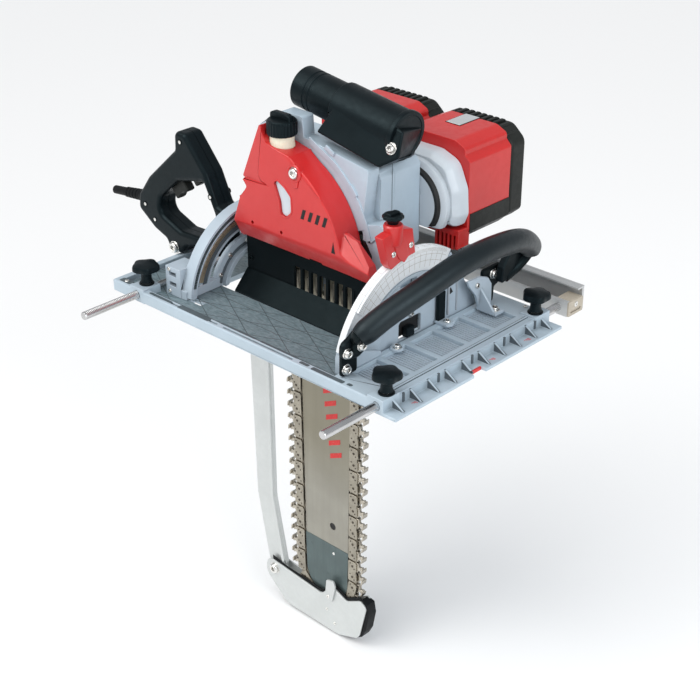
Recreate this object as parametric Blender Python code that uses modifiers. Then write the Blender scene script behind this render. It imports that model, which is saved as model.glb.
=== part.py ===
"""Portable carpenter's chain saw with a tilting saw unit on a cast base plate.

Millimetres in the text of this file; the helpers turn them into metres.
Frame: +X is the feed direction, +Y is the motor side, +Z is up.
Z = 0 is the underside of the base plate, Y = 0 the plane of the chain, and the
saw unit tilts about the X axis through the origin.
"""
from math import cos, pi, radians, sin, tan

import bmesh
import bpy
from mathutils import Matrix, Vector

MM = 0.001
GAP = 0.3                     # air between two pieces that touch

# Driving dimensions -----------------------------------------------------------
PLATE_BACK, PLATE_FRONT = -360.0, 93.0
PLATE_NEAR, PLATE_FAR = -135.0, 150.0
RIM_TOP, FLOOR_TOP = 15.0, 8.0
OPENING = ((-272.0, -48.0), (-14.0, 30.0))      # low and high corner of the plate's slot
RIDGE = (57.0, 74.0)                            # the raised bar that holds the front rod
ROD_X = {"front": 66.0, "rear": -315.0}
ROD_Z, ROD_RADIUS = 9.0, 5.0
ROD_NEAR_END, ROD_FAR_END = -214.0, 190.0
RAIL_NEAR, RAIL_FAR, RAIL_TOP = 178.0, 210.0, 30.0

REAR_ARC_X = (-268.0, -262.0)
FRONT_ARC_X = (-12.0, -4.3)
ARC_OUTER, FRONT_ARC_OUTER = 104.5, 117.0

DRIVE_X, DRIVE_Z = -135.0, 112.0                # axis of the drive shaft and sprocket
MOTOR_X = {"front": -76.0, "rear": -194.0}
MOTOR_Z = 140.0
MOTOR_HALF_WIDTH, MOTOR_LOW, MOTOR_TOP = 56.0, 86.0, 203.0
HOUSING_FRONT, HOUSING_STEP, HOUSING_SPLIT, HOUSING_BACK = -8.0, 10.0, 32.0, 75.0
CHAIN_POCKET = 5.5                              # floor of the housing's pocket round the chain
BELL_BACK, CASING_BACK, CAP_BACK = 112.0, 188.0, 216.0
GEAR_RADIUS, PINION_RADIUS = 56.4, 8.5

COVER_FRONT, COVER_BACK = -44.0, -9.0
SKIRT_Y = (-16.0, -13.0)
BAR_X, BAR_HALF_TOP, BAR_HALF_NOSE, BAR_THICK = -135.0, 40.0, 37.0, 5.0
NOSE_Z = -376.0
CHAIN_WIDTH, CHAIN_HEIGHT, SPROCKET_RADIUS, NOSE_RADIUS = 9.0, 19.0, 30.0, 26.0
GUARD_PIVOT = (-226.0, -411.0)

HANDLE_Y = -20.0
HANDLE_HALF = 15.0
TRIGGER_ANGLE = radians(38)
PORT_START, PORT_END = (-195.0, 30.0, 251.0), (-42.0, 30.0, 229.0)

# Collections and finishes --------------------------------------------------------
FINISHES = {
    "cast": ((0.46, 0.53, 0.60), 0.45, 0.35),
    "white_cast": ((0.78, 0.81, 0.84), 0.45, 0.15),
    "red": ((0.72, 0.05, 0.04), 0.35, 0.0),
    "black": ((0.02, 0.022, 0.025), 0.45, 0.0),
    "rubber": ((0.03, 0.03, 0.03), 0.8, 0.0),
    "steel": ((0.55, 0.54, 0.52), 0.3, 1.0),
    "bright": ((0.80, 0.80, 0.80), 0.2, 1.0),
    "brass": ((0.60, 0.45, 0.25), 0.35, 1.0),
    "aluminium": ((0.75, 0.76, 0.77), 0.35, 1.0),
    "cream": ((0.80, 0.74, 0.62), 0.5, 0.0),
}


def clear_scene():
    for item in list(bpy.data.objects):
        bpy.data.objects.remove(item, do_unlink=True)


def new_collection(name):
    collection = bpy.data.collections.new(name)
    bpy.context.scene.collection.children.link(collection)
    return collection


clear_scene()
PARTS = new_collection("timber_chain_saw")
CUTTERS = new_collection("cutters")
PIVOTS = {}


def paint(piece, finish):
    colour, roughness, metallic = FINISHES[finish]
    material = bpy.data.materials.new(piece.name + "_" + finish)
    material.use_nodes = True
    shader = material.node_tree.nodes["Principled BSDF"]
    shader.inputs["Base Color"].default_value = (*colour, 1.0)
    shader.inputs["Roughness"].default_value = roughness
    shader.inputs["Metallic"].default_value = metallic
    material.diffuse_color = (*colour, 1.0)
    piece.data.materials.append(material)


# Helpers that make solids ----------------------------------------------------------
def to_world(origin, direction):
    """Matrix that takes local +Z to the direction, with its zero at the origin."""
    turn = Vector(direction).to_track_quat("Z", "Y").to_matrix().to_4x4()
    return Matrix.Translation(Vector(origin) * MM) @ turn


PLANES = {
    "XY": Matrix.Identity(4),
    "XZ": Matrix(((1, 0, 0, 0), (0, 0, -1, 0), (0, 1, 0, 0), (0, 0, 0, 1))),
    "YZ": Matrix(((0, 0, 1, 0), (1, 0, 0, 0), (0, 1, 0, 0), (0, 0, 0, 1))),
}
NORMALS = {"XY": (0, 0, 1), "XZ": (0, 1, 0), "YZ": (1, 0, 0)}


def keep(name, mesh, finish, matrix=None):
    """Put a mesh in the scene: as a part when it has a finish, else as a cutter."""
    mesh.name = name
    piece = bpy.data.objects.new(name, mesh)
    if finish:
        PARTS.objects.link(piece)
        paint(piece, finish)
    else:
        CUTTERS.objects.link(piece)
        piece.hide_render = True
        piece.display_type = "WIRE"
    if matrix:
        piece.matrix_world = matrix
    return piece


def round_edges(piece, width, segments=1, angle=40):
    bevel = piece.modifiers.new("rounding", "BEVEL")
    bevel.width = width * MM
    bevel.segments = segments
    bevel.limit_method = "ANGLE"
    bevel.angle_limit = radians(angle)
    return piece


def smooth(piece, angle=35):
    piece.data.shade_smooth()
    piece.data.set_sharp_from_angle(angle=radians(angle))
    return piece


def from_curve(name, curve, finish, matrix):
    """Turn a curve into one welded mesh that stands at its world place."""
    outline = bpy.data.objects.new(name + "_curve", curve)
    bpy.context.scene.collection.objects.link(outline)
    outline.matrix_world = matrix
    graph = bpy.context.evaluated_depsgraph_get()
    mesh = bpy.data.meshes.new_from_object(outline.evaluated_get(graph))
    bpy.data.objects.remove(outline, do_unlink=True)
    bpy.data.curves.remove(curve)
    work = bmesh.new()
    work.from_mesh(mesh)
    bmesh.ops.remove_doubles(work, verts=work.verts, dist=0.00002)
    bmesh.ops.recalc_face_normals(work, faces=work.faces)
    work.to_mesh(mesh)
    work.free()
    mesh.materials.clear()
    return keep(name, mesh, finish, matrix)


def flat(name, outlines, plane, low, high, finish=None):
    """Flat outline, given in the plane's two axes, from low to high along its normal."""
    curve = bpy.data.curves.new(name, "CURVE")
    curve.dimensions = "2D"
    curve.fill_mode = "BOTH"
    curve.extrude = (high - low) / 2 * MM
    for outline in outlines:
        spline = curve.splines.new("POLY")
        spline.points.add(len(outline) - 1)
        for point, (a, b) in zip(spline.points, outline):
            point.co = (a * MM, b * MM, 0, 1)
        spline.use_cyclic_u = True
    middle = Vector(NORMALS[plane]) * (low + high) / 2 * MM
    return from_curve(name, curve, finish, Matrix.Translation(middle) @ PLANES[plane])


def block(name, low, high, finish=None):
    """Box between two corners."""
    low, high = Vector(low), Vector(high)
    work = bmesh.new()
    size = Matrix.Diagonal((high - low) * MM).to_4x4()
    place = Matrix.Translation((high + low) / 2 * MM)
    bmesh.ops.create_cube(work, size=1.0, matrix=place @ size)
    mesh = bpy.data.meshes.new(name)
    work.to_mesh(mesh)
    work.free()
    return keep(name, mesh, finish)


def slanted_block(name, centre, size, angle, finish=None):
    """Box turned about +Y, its length along the slope that rises towards +X."""
    piece = block(name, [-v / 2 for v in size], [v / 2 for v in size], finish)
    piece.matrix_world = Matrix.Translation(Vector(centre) * MM) @ Matrix.Rotation(-angle, 4, "Y")
    return piece


def rod(name, start, end, radius, finish=None, segments=20, end_radius=None):
    """Round bar or cone between two points."""
    start, end = Vector(start), Vector(end)
    length = (end - start).length
    work = bmesh.new()
    bmesh.ops.create_cone(
        work, cap_ends=True, segments=segments, radius1=radius * MM,
        radius2=(radius if end_radius is None else end_radius) * MM, depth=length * MM)
    mesh = bpy.data.meshes.new(name)
    work.to_mesh(mesh)
    work.free()
    piece = keep(name, mesh, finish, to_world((start + end) / 2, end - start))
    return smooth(piece)


def turned(name, profile, origin, direction, finish=None, steps=20):
    """Profile of (radius, height) points, from the top down the outer side, made round."""
    mesh = bpy.data.meshes.new(name)
    closed = profile[0][0] > 0
    edges = [(i, i + 1) for i in range(len(profile) - 1)]
    if closed:
        edges.append((len(profile) - 1, 0))
    mesh.from_pydata([(r * MM, 0, h * MM) for r, h in profile], edges, [])
    piece = keep(name, mesh, finish, to_world(origin, direction))
    screw = piece.modifiers.new("turn", "SCREW")
    screw.steps = steps
    screw.render_steps = steps
    screw.use_merge_vertices = True
    screw.merge_threshold = 0.00001
    screw.use_smooth_shade = True
    return piece


def pipe(name, points, radius, finish=None, resolution=3, per_span=4):
    """Round tube along a smooth line through the points."""
    curve = bpy.data.curves.new(name, "CURVE")
    curve.dimensions = "3D"
    curve.bevel_depth = radius * MM
    curve.bevel_resolution = resolution
    curve.use_fill_caps = True
    way = smooth_line(points, per_span)
    spline = curve.splines.new("POLY")
    spline.points.add(len(way) - 1)
    for point, place in zip(spline.points, way):
        point.co = (*(Vector(place) * MM), 1)
    return smooth(from_curve(name, curve, finish, Matrix.Identity(4)), 50)


def combine(piece, other, operation):
    change = piece.modifiers.new(operation.lower(), "BOOLEAN")
    change.operation = operation
    change.solver = "EXACT"
    change.object = other


def cut(piece, *tools):
    for tool in tools:
        combine(piece, tool, "DIFFERENCE")
    return piece


def add(piece, *others):
    for other in others:
        combine(piece, other, "UNION")
    return piece


# Helpers that make outlines -----------------------------------------------------------
def smooth_line(points, per_span):
    """Catmull-Rom line through the points."""
    points = [Vector(p) for p in points]
    ends = [2 * points[0] - points[1], *points, 2 * points[-1] - points[-2]]
    line = []
    for i in range(len(points) - 1):
        a, b, c, d = ends[i:i + 4]
        for step in range(per_span):
            t = step / per_span
            line.append(0.5 * (2 * b + (c - a) * t + (2 * a - 5 * b + 4 * c - d) * t * t
                               + (3 * b - a - 3 * c + d) * t * t * t))
    return [*line, points[-1]]


def arc(centre, radius, start, end, steps):
    """Points on a circle; angles in degrees, anticlockwise from the first axis."""
    return [(centre[0] + radius * cos(radians(start + (end - start) * i / steps)),
             centre[1] + radius * sin(radians(start + (end - start) * i / steps)))
            for i in range(steps + 1)]


def rounded(corners, steps=3):
    """Outline of (a, b, radius) corners with each corner made round."""
    outline = []
    count = len(corners)
    for i, (a, b, radius) in enumerate(corners):
        here = Vector((a, b))
        before = (Vector(corners[i - 1][:2]) - here).normalized()
        after = (Vector(corners[(i + 1) % count][:2]) - here).normalized()
        if radius <= 0:
            outline.append((a, b))
            continue
        half = before.angle(after) / 2
        reach = radius / tan(half)
        middle = here + (before + after).normalized() * radius / sin(half)
        first = here + before * reach - middle
        last = here + after * reach - middle
        turn = first.angle_signed(last)
        for step in range(steps + 1):
            spoke = first.copy()
            spoke.rotate(Matrix.Rotation(-turn * step / steps, 2))
            outline.append(tuple(middle + spoke))
    return outline


def sector(inner, outer, start, end, steps):
    """Ring piece about the tilt axis in (Y, Z); angles lean from +Z towards -Y."""
    return arc((0, 0), outer, 90 + start, 90 + end, steps) + arc((0, 0), inner, 90 + end, 90 + start, steps)


def rectangle(low_a, low_b, high_a, high_b):
    return [(low_a, low_b), (high_a, low_b), (high_a, high_b), (low_a, high_b)]


def slot(a, b, half_a, half_b, steps=5):
    """Long hole with round ends, centred at (a, b)."""
    if half_a > half_b:
        reach = half_a - half_b
        return arc((a + reach, b), half_b, -90, 90, steps) + arc((a - reach, b), half_b, 90, 270, steps)
    reach = half_b - half_a
    return arc((a, b + reach), half_a, 0, 180, steps) + arc((a, b - reach), half_a, 180, 360, steps)


# Moving bodies -----------------------------------------------------------------------
def pivot(name, place, parent=None):
    """Empty on a joint's axis, which carries the pieces of one moving body."""
    empty = bpy.data.objects.new(name, None)
    PARTS.objects.link(empty)
    empty.location = Vector(place) * MM
    PIVOTS[name] = Matrix.Translation(Vector(place) * MM)
    if parent:
        empty.parent = bpy.data.objects[parent]
        empty.matrix_parent_inverse = PIVOTS[parent].inverted()


def carry(pivot_name, *pieces):
    for piece in pieces:
        piece.parent = bpy.data.objects[pivot_name]
        piece.matrix_parent_inverse = PIVOTS[pivot_name].inverted()


# The base ------------------------------------------------------------------------------
def base_plate():
    plate = block("base_plate", (PLATE_BACK, PLATE_NEAR, 0), (RIDGE[1], PLATE_FAR, RIM_TOP), "cast")
    round_edges(plate, 1.5)
    wall = 10.0
    floor = block("floor_space", (PLATE_BACK + wall, PLATE_NEAR + wall, FLOOR_TOP),
                  (-2.0, PLATE_FAR - wall, RIM_TOP + 5))
    (x0, y0), (x1, y1) = OPENING
    opening = flat("plate_opening", [rounded([(x0, y0, 8), (x1, y0, 8), (x1, y1, 8), (x0, y1, 8)])],
                   "XY", -5, RIM_TOP + 5)
    cut(plate, floor, opening)
    pocket_count, pocket_pitch, rib = 5, 46.0, 7.0
    first = PLATE_NEAR + 28.0
    for i in range(pocket_count):
        low = first + i * pocket_pitch
        cut(plate, block(f"front_pocket_{i}", (6.0, low, 4.0), (RIDGE[0] - 4, low + pocket_pitch - rib, 30.0)))
    for name, y in (("near", PLATE_NEAR + 5.5), ("far", PLATE_FAR - 5.5)):
        for part, (a, b) in enumerate(((-290.0, -180.0), (-170.0, -60.0))):
            cut(plate, block(f"rim_groove_{name}_{part}", (a, y - 1.5, RIM_TOP - 4), (b, y + 1.5, RIM_TOP + 5)))
    lug_half, lug_long, lug_top = 12.0, 27.0, 18.0
    for name, x in ROD_X.items():
        for side, low, high in (("near", PLATE_NEAR, PLATE_NEAR + lug_long),
                                ("far", PLATE_FAR - lug_long, PLATE_FAR)):
            x_low, x_high = (x - lug_half, x + lug_half) if name == "rear" else (RIDGE[0] - 4, RIDGE[1] + 1)
            lug = block(f"lug_{name}_{side}", (x_low, low, 0), (x_high, high, lug_top))
            add(plate, lug)
    ledge = flat("front_ledge", [rectangle(RIDGE[1] - 1, PLATE_NEAR, PLATE_FRONT, PLATE_FAR)], "XY", 0, 4)
    add(plate, ledge)
    gusset_count = 10
    for i in range(gusset_count):
        y = PLATE_NEAR + 16 + i * (PLATE_FAR - PLATE_NEAR - 32) / (gusset_count - 1)
        fin = flat(f"gusset_{i}", [[(RIDGE[1] - 1, 2), (PLATE_FRONT - 3, 2), (PLATE_FRONT - 3, 4.5),
                                    (RIDGE[1] + 1, RIM_TOP - 1), (RIDGE[1] - 1, RIM_TOP - 1)]],
                   "XZ", y - 1.5, y + 1.5)
        add(plate, fin)
    cut(plate, block("sight_notch", (PLATE_FRONT - 9, -8, -5), (PLATE_FRONT + 5, 12, 6)))
    cut(plate, block("floor_window", (-262, -102, -5), (-240, -91, 30)))
    for name, x in ROD_X.items():
        cut(plate, rod(f"rod_bore_{name}", (x, PLATE_NEAR - 20, ROD_Z), (x, PLATE_FAR + 20, ROD_Z),
                       ROD_RADIUS + GAP, segments=24))
    for name, x, y in KNOBS:
        cut(plate, rod(f"stud_hole_{name}", (x, y, ROD_Z), (x, y, 40), STUD_RADIUS + GAP, segments=16))
    return plate


STUD_RADIUS = 4.0
KNOBS = (("near_front", ROD_X["front"], -119.0), ("far_front", ROD_X["front"], 134.0),
         ("near_rear", ROD_X["rear"], -119.0))


def wing_knob(name, x, y):
    """Clamping knob: a round hub with two wings, moulded on its stud."""
    base, hub_top, wing_low, wing_top = 21.0, 31.0, 26.0, 41.0
    knob = rod(f"rod_knob_{name}", (x, y, base), (x, y, hub_top), 9.0, "black", 16, 7.5)
    stud = rod(f"rod_stud_{name}", (x, y, ROD_Z + ROD_RADIUS + 0.8), (x, y, base + 3), STUD_RADIUS, segments=10)
    wing = flat(f"rod_wing_{name}", [rounded([(x - 17, wing_low + 4, 3), (x - 8, wing_low, 2), (x + 8, wing_low, 2),
                                              (x + 17, wing_low + 4, 3), (x + 17, wing_top - 3, 3),
                                              (x + 8, wing_top, 3), (x - 8, wing_top, 3),
                                              (x - 17, wing_top - 3, 3)], 1)], "XZ", y - 5, y + 5)
    add(knob, wing, stud)
    pivot(f"{name}_knob_pivot", (x, y, base))
    carry(f"{name}_knob_pivot", knob)


def side_fence():
    """Aluminium rail on two rods that slide through the base plate."""
    low, high, wall, low_wall_top = -332.0, 80.0, 4.0, 19.0
    profile = [(RAIL_NEAR, 0), (RAIL_FAR, 0), (RAIL_FAR, RAIL_TOP), (RAIL_FAR - 13, RAIL_TOP),
               (RAIL_FAR - 13, RAIL_TOP - 3), (RAIL_FAR - wall, RAIL_TOP - 3), (RAIL_FAR - wall, 4),
               (RAIL_NEAR + wall, 4), (RAIL_NEAR + wall, low_wall_top), (RAIL_NEAR, low_wall_top)]
    rail = flat("fence_rail", [profile], "YZ", low, high, "aluminium")
    end_block = block("rail_end", (high - 14, RAIL_NEAR + 1, 1), (high - 0.5, RAIL_FAR - 1, low_wall_top))
    add(rail, end_block)
    pieces = [rail]
    for name, x in ROD_X.items():
        end = RAIL_NEAR + 6 if name == "front" else ROD_FAR_END
        cut(rail, rod(f"rail_hole_{name}", (x, RAIL_NEAR - 5, ROD_Z), (x, end + GAP, ROD_Z), ROD_RADIUS + GAP))
        pieces.append(rod(f"guide_rod_{name}", (x, ROD_NEAR_END, ROD_Z), (x, end, ROD_Z), ROD_RADIUS, "steel"))
    pivot("side_fence_pivot", (0, 0, 0))
    carry("side_fence_pivot", *pieces)


def rear_quadrant():
    """Guide arc behind the saw unit, with its foot block."""
    x0, x1 = REAR_ARC_X
    base_z = FLOOR_TOP + GAP
    web = flat("rear_quadrant", [sector(40, ARC_OUTER - 2, -10, 82, 14), sector(61, 71, -4, 70, 10)],
               "YZ", x0, x1, "cast")
    rim = flat("rear_rim", [sector(94.5, ARC_OUTER, -10, 84, 16)], "YZ", x0 - 2, x1 + 8)
    inner_rim = flat("rear_inner_rim", [sector(43, 48, -8, 80, 8)], "YZ", x0 - 2, x1 + 6)
    foot = block("rear_foot", (x0 - 27, -106, base_z), (x0 - 1, -76, 44))
    sole = block("rear_sole", (x0 - 3, -105, base_z), (x1 + 1.5, -52, 19))
    add(web, rim, inner_rim, sole, foot)
    for z in (20.0, 33.0):
        cut(web, block(f"foot_slot_{z:.0f}", (x0 - 21, -112, z), (x0 - 9, -98, z + 5)))
    cut(web, block("rear_base_clearance", (x0 - 50, -150, -40), (x1 + 30, 40, base_z)))
    strip = flat("rear_scale_strip", [sector(82, 88, -8, 74, 14)], "YZ", x1 + GAP, x1 + GAP + 2, "brass")
    return web, strip


def front_quadrant():
    """Guide arc ahead of the saw unit, its scale and the feet that hold the front handle."""
    x0, x1 = FRONT_ARC_X
    base_z = RIM_TOP + GAP
    web = flat("front_quadrant", [sector(56, FRONT_ARC_OUTER, -34, 74, 20), sector(74, 84, -6, 64, 10)],
               "YZ", x0, x1, "white_cast")
    foot_shape = [(-113, 8.3), (-113, 27), (-106, 47), (-97, 58), (-84, 58), (-84, 30), (-58, 20), (-58, 8.3)]
    foot = flat("front_near_foot", [foot_shape], "YZ", x0 - 1, x1 + 8.4)
    beam_shape = [(58, 8.3), (58, 92), (66, 94), (104, 30), (112, 18), (112, 8.3)]
    beam = flat("front_far_beam", [beam_shape], "YZ", x0, x1)
    fill_shape = [(-62, 8.3), (62, 8.3), (62, 30), (40, 60), (-40, 60), (-62, 30)]
    fill_hole = rounded([(-19, 14, 0), (18, 14, 0), (18, 36, 4), (-19, 36, 4)])
    fill = flat("front_fill", [fill_shape, fill_hole], "YZ", x0 + 2, x1 - 1.5)
    add(web, foot, beam, fill)
    cut(web, block("front_base_clearance", (x0 - 30, -150, -90), (x1 + 30, 150, FLOOR_TOP + GAP)))
    cut(web, block("front_rim_clearance", (-2.0 - GAP, -150, -10), (x1 + 30, 150, base_z)))
    band = flat("front_scale", [sector(93, FRONT_ARC_OUTER - 0.5, -30, 50, 16)], "YZ", x1 + GAP, x1 + 3, "white_cast")
    return web, band


BAIL_LINE = ((16.5, -112, 48), (18, -111, 58), (25, -114, 72), (37, -85, 91), (51, -40, 109), (58, 5, 119),
             (59, 45, 121), (54, 95, 114), (46, 130, 102), (35, 158, 84), (25, 167, 67), (19, 156, 53),
             (16, 138, 45))
GRIP_START, GRIP_END = 2, 11


def bail_handle():
    """Bent tube with a soft grip, held by two straps."""
    tube_radius, grip_radius = 7.0, 15.5
    pipe("bail_tube", BAIL_LINE, tube_radius, "black", 2, 2)
    grip = pipe("bail_grip", BAIL_LINE[GRIP_START:GRIP_END], grip_radius, "black", 3, 2)
    cut(grip, pipe("grip_bore", BAIL_LINE, tube_radius + GAP, None, 2, 2))
    strap_x, clevis_x = (4.5, 8.6), (9.0, 14.0)
    flat("near_handle_strap", [rounded([(-125, 16, 3), (-101.5, 16, 3), (-101.5, 44, 5), (-110, 54, 5), (-125, 54, 4)], 3),
                               slot(-118.5, 23.6, 3.3, 3.3, 5)], "YZ", *strap_x, "black")
    flat("far_handle_strap", [rounded([(110, 16, 3), (129, 16, 3), (130, 34, 3), (150, 40, 4), (152, 52, 4), (140, 60, 5),
                                       (108, 60, 4)], 3), slot(127, 50.5, 3.3, 3.3, 5)], "YZ", *strap_x, "black")
    clevis = flat("bail_clevis", [rounded([(-131, 44, 5), (-129, 58, 5), (-118, 62, 4), (-106, 66, 4), (-95, 50, 4), (-97, 42, 4),
                                           (-106, 37, 5), (-120, 39, 4)], 3)], "YZ", *clevis_x)
    gusset = flat("bail_gusset", [[(130, 43), (134, 56), (146, 66), (152, 62), (152, 48)]], "YZ", 12.0, 18.0)
    tube = bpy.data.objects["bail_tube"]
    add(tube, clevis, gusset)
    cut(tube, rod("clevis_hole", (5, -124, 47), (20, -124, 47), 3.3, segments=12))
    for name, x, y, z in (("strap_bolt_low", strap_x[1], -118.5, 23.6), ("strap_bolt_high", clevis_x[1], -124, 47.0),
                          ("far_strap_bolt", strap_x[1], 127, 50.5)):
        turned(name, [(0, 5), (3.5, 4.4), (6, 2), (6, 0), (3, 0), (3, -3.8), (0, -3.8)], (x + GAP, y, z), (1, 0, 0), "bright", 8)
    foot = flat("far_handle_foot", [[(100, RIM_TOP + GAP), (121, RIM_TOP + GAP), (120, 42), (113, 52), (100, 57), (76, 58), (80, 50),
                                     (92, 36)]], "YZ", clevis_x[0], clevis_x[0] + 4, "cast")
    toe = block("far_foot_toe", (clevis_x[0], 98, RIM_TOP + GAP), (37, 114, RIM_TOP + 4))
    rib = flat("far_foot_rib", [[(10, 16), (34, 16), (34, 20), (13, 44), (10, 44)]], "XZ", 98, 101)
    add(foot, toe, rib)


HANDLE_OUTER = [(-334, 177, 5), (-351, 178, 6), (-353, 152, 9), (-406, 104, 20), (-427, 76, 5), (-430, 58, 5),
                (-400, 37, 14), (-378, 29, 8), (-373, 18, 6), (-353, 15.6, 6), (-340, 30, 12), (-306, 36, 10),
                (-270.4, 34, 0), (-270.4, 97, 0), (-281, 100, 2), (-298, 136, 30)]
HANDLE_HOLE = [(-304, 124, 5), (-285, 86, 12), (-294, 50, 13), (-350, 47, 16), (-390, 62, 13), (-384, 84, 12),
               (-352, 112, 8)]


def back_handle():
    """D-shaped rear handle in two shells around its switch."""
    outlines = [rounded(HANDLE_OUTER, 2), rounded(HANDLE_HOLE, 2)]
    left = flat("handle_shell_near", outlines, "XZ", HANDLE_Y - HANDLE_HALF, HANDLE_Y - GAP / 2, "black")
    right = flat("handle_shell_far", outlines, "XZ", HANDLE_Y + GAP / 2, HANDLE_Y + HANDLE_HALF, "black")
    along = Vector((cos(TRIGGER_ANGLE), 0, sin(TRIGGER_ANGLE)))
    press = Vector((-sin(TRIGGER_ANGLE), 0, cos(TRIGGER_ANGLE)))
    trigger_place = Vector((-357, HANDLE_Y, 99))
    lock_place = Vector((-326, HANDLE_Y, 119))
    for shell in (left, right):
        cut(shell, slanted_block(f"{shell.name}_trigger_space", trigger_place + press * 5, (30, 22, 20), TRIGGER_ANGLE),
            slanted_block(f"{shell.name}_lock_space", lock_place + press * 5, (14, 18, 18), TRIGGER_ANGLE),
            slanted_block(f"{shell.name}_switch_space", trigger_place + press * 24 + along * 6, (34, 13, 22),
                          TRIGGER_ANGLE),
            rod(f"{shell.name}_bolt_hole", (-362, -60, 23), (-362, 20, 23), 4.3, segments=12))
    slanted_block("switch_block", trigger_place + press * 24.5 + along * 6, (33, 11, 19), TRIGGER_ANGLE, "black")
    trigger = slanted_block("trigger", trigger_place, (28.5, 14, 17), TRIGGER_ANGLE, "black")
    lock = slanted_block("lock_button", lock_place, (12.5, 12, 14), TRIGGER_ANGLE, "black")
    round_edges(trigger, 2.5, 2)
    round_edges(lock, 2.5, 2)
    pivot("trigger_pivot", trigger_place)
    carry("trigger_pivot", trigger)
    pivot("lock_pivot", lock_place)
    carry("lock_pivot", lock)
    turned("handle_bolt", [(0, 34.5), (6, 34.5), (7, 32), (7, 30.3), (3.8, 30.3), (3.8, 0), (0, 0)],
           (-362, HANDLE_Y + HANDLE_HALF, 23), (0, -1, 0), "bright", 12)
    relief_start = Vector((-430.5, HANDLE_Y, 68))
    relief_way = Vector((-60, 0, -8))
    profile = [(3.6, 61), (5.4, 61), (5.6, 38)]
    for ring in range(4):
        height = 34 - ring * 7
        profile += [(6.4 + 0.25 * ring, height), (6.4 + 0.25 * ring, height - 3), (5.6 + 0.25 * ring, height - 3.4)]
    profile += [(8.5, 4), (8.5, 1.4), (3.6, 1.4)]
    turned("strain_relief", profile, relief_start, relief_way, "rubber", 12)


# The tilting saw unit ---------------------------------------------------------------------
def housing_outline():
    return rounded([(-252, 62, 4), (-252, 112, 6), (-236, 138, 6), (-232, 207, 8), (-193, 232, 8), (-162, 232, 4),
                    (-160, 209, 0), (-62, 195, 4), (-71, 130, 6), (-46, 136, 4), (-14, 126, 6), (-14, 66, 4),
                    (-60, 24, 6), (-228, 24, 6)], 3)


def gear_case_outline(inset=0.0):
    low_x, high_x, low_z, high_z = -246 + inset, -60 - inset, 44 + inset, 190 - inset
    return rounded([(low_x, low_z + 40, 6), (low_x, high_z - 14, 10), (low_x + 14, high_z, 8), (high_x - 6, high_z, 6),
                    (high_x, high_z - 8, 6), (high_x, low_z + 44, 8), (-100, low_z, 10), (-170, low_z, 10)], 3)


def gearbox():
    """Cast gear housing in two halves, which hold the gears between them."""
    front = flat("gear_housing", [housing_outline()], "XZ", HOUSING_FRONT, HOUSING_STEP, "cast")
    case = flat("front_case", [gear_case_outline()], "XZ", HOUSING_STEP - 1, HOUSING_SPLIT)
    add(front, case)
    pocket = rounded([(-200, 0, 0), (-200, 120, 10), (-176, 168, 30), (-94, 168, 30), (-70, 120, 10), (-70, 0, 0)])
    cut(front, flat("front_gear_space", [gear_case_outline(5)], "XZ", HOUSING_STEP + 2.5, HOUSING_SPLIT + 5),
        flat("chain_pocket", [pocket], "XZ", -20, CHAIN_POCKET),
        block("arm_pocket", (-257, -20, 0), (-228, CHAIN_POCKET, 56)),
        rod("front_shaft_bore", (DRIVE_X, -20, DRIVE_Z), (DRIVE_X, 20, DRIVE_Z), 10.5, segments=24))
    for z in (215.0, 100.0):
        x = -212.0 if z > 200 else -34.0
        cut(front, rod(f"housing_hole_{z:.0f}", (x, -20, z), (x, 20, z), 4, segments=12))
    rear = flat("gearbox_rear", [gear_case_outline()], "XZ", HOUSING_SPLIT + GAP, HOUSING_BACK, "cast")
    cut(rear, flat("rear_gear_space", [gear_case_outline(5)], "XZ", HOUSING_SPLIT - 5, HOUSING_BACK - 8))
    for x in MOTOR_X.values():
        cut(rear, rod(f"armature_bore_{x:.0f}", (x, 50, MOTOR_Z), (x, 90, MOTOR_Z), 16, segments=24))
    boss = rod("rear_shaft_boss", (DRIVE_X, HOUSING_BACK - 20, DRIVE_Z), (DRIVE_X, HOUSING_BACK - 4, DRIVE_Z), 16)
    add(rear, boss)
    cut(rear, rod("rear_shaft_bore", (DRIVE_X, HOUSING_BACK - 24, DRIVE_Z), (DRIVE_X, HOUSING_BACK - 8, DRIVE_Z), 10.5))
    carry("tilt_pivot", front, rear)


def motor_outline(x, grow=0.0):
    half = MOTOR_HALF_WIDTH + grow
    low, high = MOTOR_LOW - grow, MOTOR_TOP + grow
    return rounded([(x - half, low + 12, 6), (x - half, high - 18, 14), (x - half + 22, high, 16), (x + half - 22, high, 16),
                    (x + half, high - 18, 14), (x + half, low + 12, 6), (x + half - 14, low, 8),
                    (x - half + 14, low, 8)], 1)


BELL_LOW = 107.0


def bell_outline(x):
    half = [(52, BELL_LOW, 6), (58, 122, 10), (56, 152, 20), (43, 181, 16), (18, 190, 20)]
    return rounded([(x + a, z, r) for a, z, r in half] + [(x - a, z, r) for a, z, r in reversed(half)], 2)


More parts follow.
